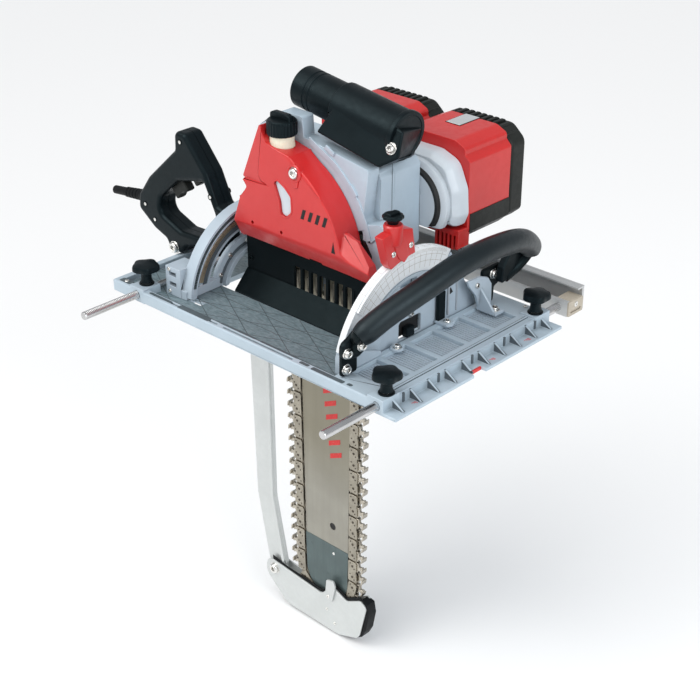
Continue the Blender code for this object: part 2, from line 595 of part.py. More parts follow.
def motor(name, x):
    """One of the two motors: bell, casing, end cap and armature."""
    wall, bell_z = 4.0, 133.0
    bell = flat(f"motor_bell_{name}", [bell_outline(x)], "XZ", 92, BELL_BACK, "cast")
    neck = turned(f"bell_neck_{name}", [(0, HOUSING_BACK + GAP), (48, HOUSING_BACK + GAP), (50, 84), (52, 93), (0, 93)],
                  (x, 0, bell_z), (0, 1, 0), None, 24)
    cut(neck, block(f"bell_foot_space_{name}", (x - 70, 70, 60), (x + 70, 95, BELL_LOW)))
    add(bell, neck)
    cut(bell, flat(f"bell_space_{name}", [inset(bell_outline(x), wall)], "XZ", 97, BELL_BACK + 5),
        rod(f"bell_bore_{name}", (x, 70, bell_z), (x, 100, bell_z), 16.3, segments=24))
    casing = flat(f"motor_casing_{name}", [motor_outline(x), motor_outline(x, -wall)], "XZ", BELL_BACK + GAP, CASING_BACK, "red")
    bulkhead = flat(f"bulkhead_{name}", [motor_outline(x, -wall + 1), arc((x, MOTOR_Z), 30, 0, 345, 23)], "XZ",
                    BELL_BACK + GAP, BELL_BACK + GAP + 5)
    add(casing, bulkhead)
    cap = flat(f"motor_cap_{name}", [motor_outline(x)], "XZ", CASING_BACK + GAP, CAP_BACK, "black")
    round_edges(cap, 7.0, 1, 50)
    cut(cap, flat(f"cap_space_{name}", [motor_outline(x, -wall)], "XZ", CASING_BACK - 5, CAP_BACK - 10))
    fin_count = 6
    for i in range(fin_count):
        place = x - 42 + i * 84 / (fin_count - 1)
        cut(cap, block(f"cap_slot_{name}_{i}", (place - 2.5, CASING_BACK + 6, MOTOR_TOP - 12),
                       (place + 2.5, CAP_BACK - 3, MOTOR_TOP + 5)))
    armature = turned(f"armature_{name}", [
        (0, 198), (5, 198), (5, 180), (24, 178), (24, 128), (8, 126), (8, 122), (28, 121), (28, 116), (8, 115), (8, 80),
        (6, 60), (6, 29), (PINION_RADIUS, 29), (PINION_RADIUS, 13.5), (0, 13.5)],
        (x, 0, MOTOR_Z), (0, 1, 0), "steel", 12)
    pivot(f"armature_{name}_pivot", (x, 100, MOTOR_Z), "tilt_pivot")
    carry("tilt_pivot", bell, casing, cap)
    carry(f"armature_{name}_pivot", armature)


def drive_train():
    """Drive shaft with its gear and the sprocket that pulls the chain."""
    pivot("drive_pivot", (DRIVE_X, 0, DRIVE_Z), "tilt_pivot")
    origin = (DRIVE_X, 0, DRIVE_Z)
    shaft = turned("drive_shaft", [(0, 64), (10, 64), (10, 30), (9, 30), (9, -7), (0, -7)], origin, (0, 1, 0), "steel", 14)
    gear = turned("drive_gear", [(9.4, 27), (GEAR_RADIUS, 27), (GEAR_RADIUS, 15), (9.4, 15)], origin, (0, 1, 0), "steel", 28)
    tooth_count = 9
    outline = []
    for i in range(tooth_count):
        turn = 360 / tooth_count * i
        outline += arc(origin[::2], SPROCKET_RADIUS, turn - 9, turn + 9, 2)
        outline += arc(origin[::2], SPROCKET_RADIUS - 6, turn + 14, turn + 26, 1)
    sprocket = flat("drive_sprocket", [outline, arc(origin[::2], 9.4, 0, 340, 17)], "XZ", -3, 3, "steel")
    carry("drive_pivot", shaft, gear, sprocket)
    nose_place = (BAR_X, NOSE_Z)
    pivot("nose_pivot", (BAR_X, 0, NOSE_Z), "tilt_pivot")
    nose = flat("nose_sprocket", [arc(nose_place, NOSE_RADIUS, 0, 345, 23), arc(nose_place, 6.4, 0, 330, 11)], "XZ", -1.2, 1.2,
                "steel")
    carry("nose_pivot", nose)


def bar_outline():
    """Guide bar: straight flanks that narrow to the nose wheel, hollowed at both ends."""
    top = 74.0
    side = arc((BAR_X, NOSE_Z), BAR_HALF_NOSE, 195, 345, 10)
    return [(BAR_X - BAR_HALF_TOP, -120), *side, (BAR_X + BAR_HALF_TOP, -120), (BAR_X + BAR_HALF_TOP, 40),
            (BAR_X + 26, top - 4), (BAR_X + 14, top), (BAR_X - 14, top), (BAR_X - 26, top - 4), (BAR_X - BAR_HALF_TOP, 40)]


def guide_bar():
    half = BAR_THICK / 2
    bar = flat("guide_bar", [bar_outline(), arc((-124.6, -299), 5, 0, 330, 11), slot(BAR_X, 40, 7, 20, 5)],
               "XZ", -half, half, "steel")
    cut(bar, flat("nose_space", [arc((BAR_X, NOSE_Z), NOSE_RADIUS + 0.8, 0, 345, 23)], "XZ", -1.6, 1.6))
    cut(bar, block("nose_opening", (BAR_X - NOSE_RADIUS, -1.6, NOSE_Z - 60), (BAR_X + NOSE_RADIUS, 1.6, NOSE_Z)))
    carry("tilt_pivot", bar)


def chain_outline(offset):
    """Loop at a distance outside the bar's edge, over the drive sprocket."""
    nose = arc((BAR_X, NOSE_Z), BAR_HALF_NOSE + offset, 183, 357, 16)
    top = arc((DRIVE_X, DRIVE_Z), SPROCKET_RADIUS + offset, -8, 188, 16)
    half = BAR_HALF_TOP + offset
    return [(BAR_X - half, -120), *nose, (BAR_X + half, -120), (BAR_X + half, 40), *top, (BAR_X - half, 40)]


def chain():
    half = CHAIN_WIDTH / 2
    loop = flat("saw_chain", [chain_outline(CHAIN_HEIGHT), chain_outline(GAP * 2)], "XZ", -half, half, "steel")
    pitch, tooth = 33.2, 5.0
    for side in (-1, 1):
        for i in range(11):
            x = BAR_X + side * (BAR_HALF_TOP + CHAIN_HEIGHT - 1.5)
            z = -30 - pitch * i
            x -= side * max(0.0, (-120 - z)) / 256 * (BAR_HALF_TOP - BAR_HALF_NOSE)
            add(loop, block(f"tooth_{side}_{i}", (min(x, x + side * 8), -half, z - tooth),
                            (max(x, x + side * 8), half, z + tooth)))
    carry("tilt_pivot", loop)


def guard():
    """Arm that follows the bar, with the hinged guard round the chain's nose."""
    half = 2.5
    arm = flat("guard_arm", [rounded([(-254, 52, 3), (-254, -30, 12), (-266, -52, 12), (-266, -106, 10), (-261, -307, 20),
                                      (-243, -400, 6), (-236, -420, 8), (-214, -420, 8), (-210, -398, 8), (-229, -300, 20),
                                      (-231, -106, 8), (-231, 52, 3)], 3), arc((GUARD_PIVOT), 4.3, 0, 330, 11)],
               "XZ", -half, half, "aluminium")
    carry("tilt_pivot", arm)
    pivot("guard_pivot", (GUARD_PIVOT[0], 0, GUARD_PIVOT[1]), "tilt_pivot")
    shape = rounded([(-242, -398, 12), (-242, -424, 14), (-205, -457, 18), (-110, -459, 16), (-74, -446, 16), (-60, -392, 8),
                     (-72, -384, 6), (-96, -398, 8), (-120, -386, 8), (-140, -408, 12)], 3)
    inner, outer = 6.4, 8.6
    hole = arc(GUARD_PIVOT, 4.3, 0, 330, 11)
    near = flat("tip_guard_near", [shape, hole], "XZ", -outer, -inner, "aluminium")
    far = flat("tip_guard_far", [shape, hole], "XZ", inner, outer, "aluminium")
    liner_outline = [(-70, -386), (-56, -390), (-64, -436), (-76, -452), (-108, -459), (-108, -455), (-82, -446), (-74, -430),
                     (-68, -398)]
    liner = flat("guard_liner", [liner_outline], "XZ", -inner + GAP, inner - GAP, "rubber")
    bolt = turned("guard_bolt", [(0, 13.5), (5, 13.5), (7.5, 11), (7.5, outer + GAP), (4, outer + GAP), (4, -13), (0, -13)],
                  (GUARD_PIVOT[0], 0, GUARD_PIVOT[1]), (0, -1, 0), "bright", 16)
    latch = flat("guard_latch", [rounded([(-128, -378, 5), (-116, -374, 4), (-112, -384, 3), (-120, -412, 4), (-132, -410, 4)],
                                         2)], "XZ", -12, -outer - GAP, "aluminium")
    carry("guard_pivot", near, far, liner, bolt, latch)


def cover_outline():
    rise = arc((-190, 80), 122, 63, 14, 7)
    return [(-243, 76), (-241, 97), (-229, 131), (-216, 146), (-228, 155), (-195, 225), (-184, 206), (-148, 197),
            *rise, (-64, 94), (-61, 76)]


def inset(outline, distance):
    """The outline moved inwards by a distance; the outline runs anticlockwise or clockwise."""
    area = sum(a[0] * b[1] - b[0] * a[1] for a, b in zip(outline, outline[1:] + outline[:1]))
    side = 1 if area > 0 else -1
    result = []
    for i, point in enumerate(outline):
        here = Vector(point)
        back = (here - Vector(outline[i - 1])).normalized()
        ahead = (Vector(outline[(i + 1) % len(outline)]) - here).normalized()
        normal = Vector((-(back + ahead).y, (back + ahead).x)).normalized() * side
        lean = max(0.5, normal.dot(Vector((-ahead.y, ahead.x)) * side))
        result.append(tuple(here + normal * distance / lean))
    return result


def lower_bevel(name, depth):
    """Prism that slopes the cover's lower front edge, so that it clears the plate at full tilt."""
    top, bottom, lean = 94.5, 70.0, -tan(radians(30))
    face = COVER_FRONT + depth
    slope_foot = face + lean * (bottom - top)
    return flat(name, [[(face - 12, top + 20), (face - 12, bottom - 10), (slope_foot, bottom - 10), (slope_foot, bottom),
                        (face, top), (face, top + 20)]], "YZ", -260, -10)


def chain_cover():
    wall = 3.0
    cover = flat("chain_cover", [cover_outline()], "XZ", COVER_FRONT, COVER_BACK, "red")
    space = flat("cover_space", [inset(cover_outline(), wall)], "XZ", COVER_FRONT + wall, COVER_BACK + 5)
    cut(space, lower_bevel("inner_bevel", wall))
    tongue = [(-80, 92), (-77, 125), (-58, 120), (-35, 99), (-32, 90), (-35, 76), (-64, 76)]
    add(cover, flat("cover_tongue", [tongue], "XZ", COVER_FRONT, COVER_FRONT + 18))
    cut(cover, lower_bevel("outer_bevel", 0), space)
    sight = rounded([(-172, 163, 2), (-166, 166, 3), (-155, 160, 4), (-146, 152, 5), (-145.5, 134, 5), (-155, 125, 5),
                     (-162, 128, 4), (-163.5, 142, 6)], 3)
    cut(cover, flat("sight_window", [sight], "XZ", COVER_FRONT - 5, COVER_FRONT + 8),
        rod("neck_hole", (TANK_X, TANK_Y, 190), (TANK_X, TANK_Y, 225), NECK_RADIUS + GAP, segments=24),
        rod("cap_clearance", (TANK_X, TANK_Y, 213.7), (TANK_X, TANK_Y, 245), 18.3, segments=24),
        block("cover_bottom_opening", (-236, COVER_FRONT + 12, 70), (-66, COVER_BACK + 5, 95)),
        block("skirt_clearance", (-260, SKIRT_Y[0] - 1, 60), (-20, COVER_BACK + 5, 80)),
        rod("cover_screw_hole", (-139, -60, 182), (-139, -20, 182), 4.5, segments=16))
    tilt_screw = turned("cover_screw", [(0, 4), (4, 4), (6.5, 2), (6.5, 0), (4, 0), (4, -30), (0, -30)],
                        (-139, COVER_FRONT - GAP, 182), (0, -1, 0), "bright", 16)
    carry("tilt_pivot", cover, tilt_screw)


TANK_X, TANK_Y, NECK_RADIUS = -175.0, -26.5, 14.0


def oil_tank():
    tank = flat("oil_tank", [rounded([(-207, 150, 4), (-195, 189, 4), (-160, 189, 4), (-148, 178, 6), (-146, 112, 6),
                                      (-176, 100, 6), (-218, 108, 6), (-216, 128, 6)], 2)], "XZ", -40, -13, "cream")
    neck = rod("tank_neck", (TANK_X, TANK_Y, 186), (TANK_X, TANK_Y, 214), NECK_RADIUS - GAP, segments=24)
    add(tank, neck)
    cut(tank, rod("tank_mouth", (TANK_X, TANK_Y, 118), (TANK_X, TANK_Y, 230), 10.8, segments=20))
    pivot("oil_cap_pivot", (TANK_X, TANK_Y, 214), "tilt_pivot")
    cap = turned("oil_cap", [(0, 232), (14, 232), (17, 230), (17.5, 214.5), (10.3, 214.5), (10.3, 206), (0, 206)],
                 (TANK_X, TANK_Y, 0), (0, 0, 1), "black", 24)
    bar = block("cap_bar", (TANK_X - 14, TANK_Y - 3.5, 230), (TANK_X + 14, TANK_Y + 3.5, 239))
    add(cap, bar)
    carry("tilt_pivot", tank)
    carry("oil_cap_pivot", cap)


def skirt():
    """Black plate below the cover, with windows on the chain and a flared rubber foot."""
    (outer, inner), top, bend, foot = SKIRT_Y, 79.5, 24.0, -38.0
    profile = [(outer, top), (outer, bend), (foot, 2), (foot, 0.5), (foot + 3, 0.5), (inner, bend - 1), (inner, top)]
    plate = flat("chain_skirt", [profile], "YZ", -250, -56, "black")
    window_count, window_pitch, window_half = 7, 13.6, 4.2
    for i in range(window_count):
        x = -165.5 + i * window_pitch
        cut(plate, block(f"skirt_window_{i}", (x - window_half, -40, 9), (x + window_half, -5, 52)))
    carry("tilt_pivot", plate)


BOX_FRONT = ((-141.0, -8.0, 220.5), (-122.0, 10.0, 258.8), (-30.0, 10.0, 242.0), (-27.0, -1.0, 215.6),
             (-48.0, -8.4, 202.5))


def hull(name, points, finish=None):
    """The smallest solid with flat faces that holds these points."""
    work = bmesh.new()
    for point in points:
        work.verts.new(Vector(point) * MM)
    bmesh.ops.convex_hull(work, input=work.verts)
    bmesh.ops.dissolve_limit(work, angle_limit=radians(1), verts=work.verts, edges=work.edges)
    bmesh.ops.recalc_face_normals(work, faces=work.faces)
    mesh = bpy.data.meshes.new(name)
    work.to_mesh(mesh)
    work.free()
    return keep(name, mesh, finish)


def dust_port():
    """Chip duct on top of the housing, with a nozzle that swivels in it."""
    start, end = Vector(PORT_START), Vector(PORT_END)
    way = (end - start).normalized()
    rise = Vector((-way.z, 0, way.x))
    length = (end - start).length
    radius, wall = 24.0, 2.5
    box_start, box_end = start + way * 62, end - way * 14
    body = hull("dust_box", [*BOX_FRONT, (-128, 57, 245), (-42, 57, 233), (-136, 57, 208), (-54, 57, 197), (-139, 12, 207),
                             (-56, 12, 196)], "black")
    round_edges(body, 2, 1, 30)
    sleeve = rod("box_sleeve", box_start, end, radius + 3.2, segments=24)
    add(body, sleeve)
    cut(body, rod("box_bore", start - way * 20, end - way * 5, radius + GAP, segments=24),
        block("box_bottom_clearance", (-250, -50, 100), (-20, 150, 190 + GAP)),
        flat("flange_clearance", [[(-170, 180), (-50, 180), (-50, 196), (-62, 196), (-159, 210), (-170, 212)]], "XZ", -20,
             HOUSING_STEP + GAP))
    throat = block("box_throat", (-130, 14, 150), (-80, 46, 235))
    cut(body, throat)
    pivot("nozzle_pivot", PORT_START, "tilt_pivot")
    nozzle = turned("dust_nozzle", [
        (radius - wall, length - 8), (radius, length - 8), (radius, 26), (radius - 1, 25), (radius - 1, 20), (radius, 19),
        (radius, 0), (radius - wall, 0)], start, way, "black", 24)
    cut(nozzle, block("nozzle_side_window", (-122, 16, 190), (-88, 44, 232)))
    corner, high, side = (Vector(BOX_FRONT[i]) for i in (0, 1, 2))
    out = (side - corner).cross(high - corner).normalized()
    screw = turned("dust_clamp_screw", [(0, 6), (4, 6), (4.6, 4.5), (4.6, 2), (6.5, 2), (6.5, 0), (0, 0)],
                   Vector((-38.5, 1.6, 223.6)) + out * 2 * GAP, out, "bright", 18)
    carry("tilt_pivot", body, screw)
    carry("nozzle_pivot", nozzle)


def bevel_clamp():
    """Pointer block that rides over the front arc, with its clamping lever."""
    inner = FRONT_ARC_OUTER + 1.5
    angle_low, angle_high = 2.0, 21.0
    shape = [*arc((0, 0), inner, 90 + angle_low, 90 + angle_high, 4), (-47, 117), (-57, 150), (-46, 152), (-24, 152),
             (-9, 148)]
    clamp = flat("bevel_clamp", [shape], "YZ", -9, 3, "red")
    arm = block("clamp_arm", (-13.2, -30, inner + 1.0), (-8, -6, inner + 16))
    place = Vector((-3, -34.5, 0))
    stem = rod("clamp_stem", place + Vector((0, 0, 140)), place + Vector((0, 0, 160 - GAP)), 10.0, segments=18)
    add(clamp, arm, stem)
    pivot("lever_pivot", tuple(place + Vector((0, 0, 160))), "tilt_pivot")
    lever = turned("clamp_lever", [(0, 170.5), (9.5, 170.5), (11.5, 169), (11.5, 166.5), (8, 164), (6.2, 160), (0, 160)], tuple(place),
                   (0, 0, 1), "black", 20)
    handle = block("lever_handle", (-6, -42.6, 167.7), (0, -26.4, 173.4))
    round_edges(handle, 2)
    add(lever, handle)
    carry("tilt_pivot", clamp)
    carry("lever_pivot", lever)


def build():
    base_plate()
    for name, x, y in KNOBS:
        wing_knob(name, x, y)
    side_fence()
    rear_quadrant()
    front_quadrant()
    bail_handle()
    back_handle()
    pivot("tilt_pivot", (0, 0, 0))
    gearbox()
    for name, x in MOTOR_X.items():
        motor(name, x)
    drive_train()
    guide_bar()
    chain()
    guard()
    chain_cover()
    oil_tank()
    skirt()
    dust_port()
    bevel_clamp()


build()
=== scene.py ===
"""Looks of a portable timber chain saw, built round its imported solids.

Sizes in this file are in millimetres and become metres in the helpers.
"""

from math import cos, pi, radians, sin, tan

import bmesh
import bpy
from mathutils import Matrix, Vector


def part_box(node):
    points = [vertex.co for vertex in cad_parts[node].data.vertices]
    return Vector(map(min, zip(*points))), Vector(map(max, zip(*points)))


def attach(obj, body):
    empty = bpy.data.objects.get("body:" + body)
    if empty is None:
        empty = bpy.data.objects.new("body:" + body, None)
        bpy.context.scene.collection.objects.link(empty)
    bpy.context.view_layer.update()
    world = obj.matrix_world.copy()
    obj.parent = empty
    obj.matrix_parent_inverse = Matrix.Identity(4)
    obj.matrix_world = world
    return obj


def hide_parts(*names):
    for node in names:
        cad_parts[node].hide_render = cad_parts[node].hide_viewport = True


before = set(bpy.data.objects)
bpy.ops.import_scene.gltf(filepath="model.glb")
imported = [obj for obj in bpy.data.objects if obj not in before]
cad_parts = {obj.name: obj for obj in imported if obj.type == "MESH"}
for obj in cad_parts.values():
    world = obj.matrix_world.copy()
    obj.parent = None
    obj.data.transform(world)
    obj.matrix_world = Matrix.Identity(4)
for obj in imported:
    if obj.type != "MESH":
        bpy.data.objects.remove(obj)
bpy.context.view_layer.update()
MM = 0.001

# Bodies and directions
SAW = "saw_unit"
UP, NEAR, FAR, AHEAD = (0, 0, 1), (0, -1, 0), (0, 1, 0), (1, 0, 0)

# Places shared by several pieces
PLATE_Y = (-135.0, 150.0)
BAR_X, NOSE_Z, DRIVE_Z = -135, -376, 112
NOSE, DRIVE = (BAR_X, 0, NOSE_Z), (BAR_X, 0, DRIVE_Z)
MOTOR_X = {"front": -76.0, "rear": -194.0}
MOTOR_Z, BELL_Z = 140, 133
TANK = (-175, -26.5, 0)
GUARD_PIVOT = (-226, -411)
COVER_FRONT, COVER_ARC_CENTRE, COVER_BOLT = -44, (-190, 80), (-139, 0, 182)
CLAMP_Y = -34.5

# The camera that the whole scene is seen from
CAMERA_TURN, CAMERA_LIFT, CAMERA_LENS = radians(43.21), radians(28.11), 1460.77 / 700 * 36
CAMERA_PLACE = (0.92938593528, -1.09271100788, 0.76272634144)


# Materials ------------------------------------------------------------------------
def link_noise(tree, coords, size, detail=3.0, rough=0.55, stretch=None):
    """Noise whose features are about this many millimetres wide."""
    noise = tree.nodes.new("ShaderNodeTexNoise")
    noise.inputs["Scale"].default_value = 1000.0 / size
    noise.inputs["Detail"].default_value = detail
    noise.inputs["Roughness"].default_value = rough
    if stretch:
        mapping = tree.nodes.new("ShaderNodeMapping")
        mapping.inputs["Scale"].default_value = stretch
        tree.links.new(coords, mapping.inputs["Vector"])
        coords = mapping.outputs["Vector"]
    tree.links.new(coords, noise.inputs["Vector"])
    return noise.outputs["Fac"]


def spread_value(tree, source, low, high, start=0.3, end=0.7):
    """Map a factor from start..end to low..high."""
    node = tree.nodes.new("ShaderNodeMapRange")
    node.inputs["From Min"].default_value = start
    node.inputs["From Max"].default_value = end
    node.inputs["To Min"].default_value = low
    node.inputs["To Max"].default_value = high
    tree.links.new(source, node.inputs["Value"])
    return node.outputs["Result"]


def mix_colour(tree, factor, first, second):
    """Colour mix; each colour is a tuple or a socket."""
    node = tree.nodes.new("ShaderNodeMix")
    node.data_type = "RGBA"
    tree.links.new(factor, node.inputs["Factor"])
    for socket, colour in ((node.inputs[6], first), (node.inputs[7], second)):
        if isinstance(colour, tuple):
            socket.default_value = (*colour, 1.0)
        else:
            tree.links.new(colour, socket)
    return node.outputs[2]


def shade_colour(colour, factor):
    return tuple(min(1.0, c * factor) for c in colour)


def between(tree, source, low, high, soft):
    """1 where the value lies between low and high, with soft sides."""
    rise = spread_value(tree, source, 0.0, 1.0, low - soft, low + soft)
    fall = spread_value(tree, source, 1.0, 0.0, high - soft, high + soft)
    return multiply(tree, rise, fall)


def multiply(tree, first, second):
    node = tree.nodes.new("ShaderNodeMath")
    node.operation = "MULTIPLY"
    for socket, value in zip(node.inputs, (first, second)):
        if isinstance(value, float):
            socket.default_value = value
        else:
            tree.links.new(value, socket)
    return node.outputs[0]


def material(name, colour, roughness, metallic=0.0, vary=0.10, blotch=40.0, grain=0.25, grain_size=1.2,
             rough_spread=0.08, stretch=None, hollow_shade_and_grime=0.0, hollow_shade_and_grime_colour=(0.05, 0.05, 0.045), hollow_shade_and_grime_reach=9.0,
             speck=0.0, speck_colour=(0.6, 0.6, 0.6), speck_size=2.0, extra=None, **constants):
    """Principled material with colour, roughness and relief that vary over the surface."""
    made = bpy.data.materials.new(name)
    made.use_nodes = True
    tree = made.node_tree
    shader = tree.nodes["Principled BSDF"]
    coords = tree.nodes.new("ShaderNodeTexCoord").outputs["Object"]
    patches = link_noise(tree, coords, blotch, 4.0)
    streaks = link_noise(tree, coords, blotch / 6, 3.0, 0.6, stretch)
    tone = mix_colour(tree, spread_value(tree, patches, 0.0, 1.0), shade_colour(colour, 1 - vary),
                      shade_colour(colour, 1 + vary))
    tone = mix_colour(tree, spread_value(tree, streaks, 0.0, 0.6), tone,
                      shade_colour(colour, 1 - 0.7 * vary))
    relief = link_noise(tree, coords, grain_size, 2.0, 0.5, stretch)
    rough = spread_value(tree, streaks, roughness - rough_spread, roughness + rough_spread)
    if speck:
        dots = link_noise(tree, coords, speck_size, 2.0, 0.7)
        chosen = multiply(tree, spread_value(tree, dots, 0.0, 1.0, 0.64, 0.70), speck)
        tone = mix_colour(tree, chosen, tone, speck_colour)
    # Ambient occlusion darkens corners and hollows towards a darker colour: painted shade, partly meant as
    # grime.
    if hollow_shade_and_grime:
        corner = tree.nodes.new("ShaderNodeAmbientOcclusion")
        corner.samples = 6
        corner.only_local = True
        corner.inputs["Distance"].default_value = hollow_shade_and_grime_reach * MM
        shade_and_grime_amount = spread_value(tree, corner.outputs["AO"], hollow_shade_and_grime, 0.0, 0.35, 0.95)
        ragged = multiply(tree, shade_and_grime_amount, spread_value(tree, streaks, 0.55, 1.0))
        tone = mix_colour(tree, ragged, tone, hollow_shade_and_grime_colour)
    if extra:
        tone, relief = extra(tree, coords, tone, relief)
    bump = tree.nodes.new("ShaderNodeBump")
    bump.inputs["Strength"].default_value = grain
    bump.inputs["Distance"].default_value = 0.25 * MM
    tree.links.new(relief, bump.inputs["Height"])
    tree.links.new(bump.outputs["Normal"], shader.inputs["Normal"])
    tree.links.new(tone, shader.inputs["Base Color"])
    tree.links.new(rough, shader.inputs["Roughness"])
    shader.inputs["Metallic"].default_value = metallic
    for socket, value in constants.items():
        shader.inputs[socket.replace("_", " ").title().replace("Ior", "IOR")].default_value = value
    return made


def shaded_plate_floor(tree, coords, tone, relief):
    """Darker floor between the plate's rims: painted shade on the sunken floor under the saw unit."""
    split = tree.nodes.new("ShaderNodeSeparateXYZ")
    tree.links.new(coords, split.inputs[0])
    low = between(tree, split.outputs["Z"], 0.0068, 0.0084, 0.0004)
    inside = multiply(tree, between(tree, split.outputs["X"], -0.3495, -0.0025, 0.0006),
                      between(tree, split.outputs["Y"], -0.1245, 0.1395, 0.0006))
    chosen = multiply(tree, low, inside)
    shade_patches = link_noise(tree, coords, 7.0, 5.0, 0.65, (1.0, 2.6, 1.0))
    # Painted shade: two darker blue-greys, mixed in patches by noise.
    dark = mix_colour(tree, spread_value(tree, shade_patches, 0.0, 1.0, 0.35, 0.65), (0.105, 0.155, 0.175),
                      (0.21, 0.275, 0.30))
    return mix_colour(tree, chosen, tone, dark), relief


def bar_upper_tint(tree, coords, tone, relief):
    """Darker olive tint towards the upper part of the bar."""
    split = tree.nodes.new("ShaderNodeSeparateXYZ")
    tree.links.new(coords, split.inputs[0])
    upper = spread_value(tree, split.outputs["Z"], 0.0, 0.55, -0.26, -0.17)
    return mix_colour(tree, upper, tone, (0.20, 0.175, 0.11)), relief


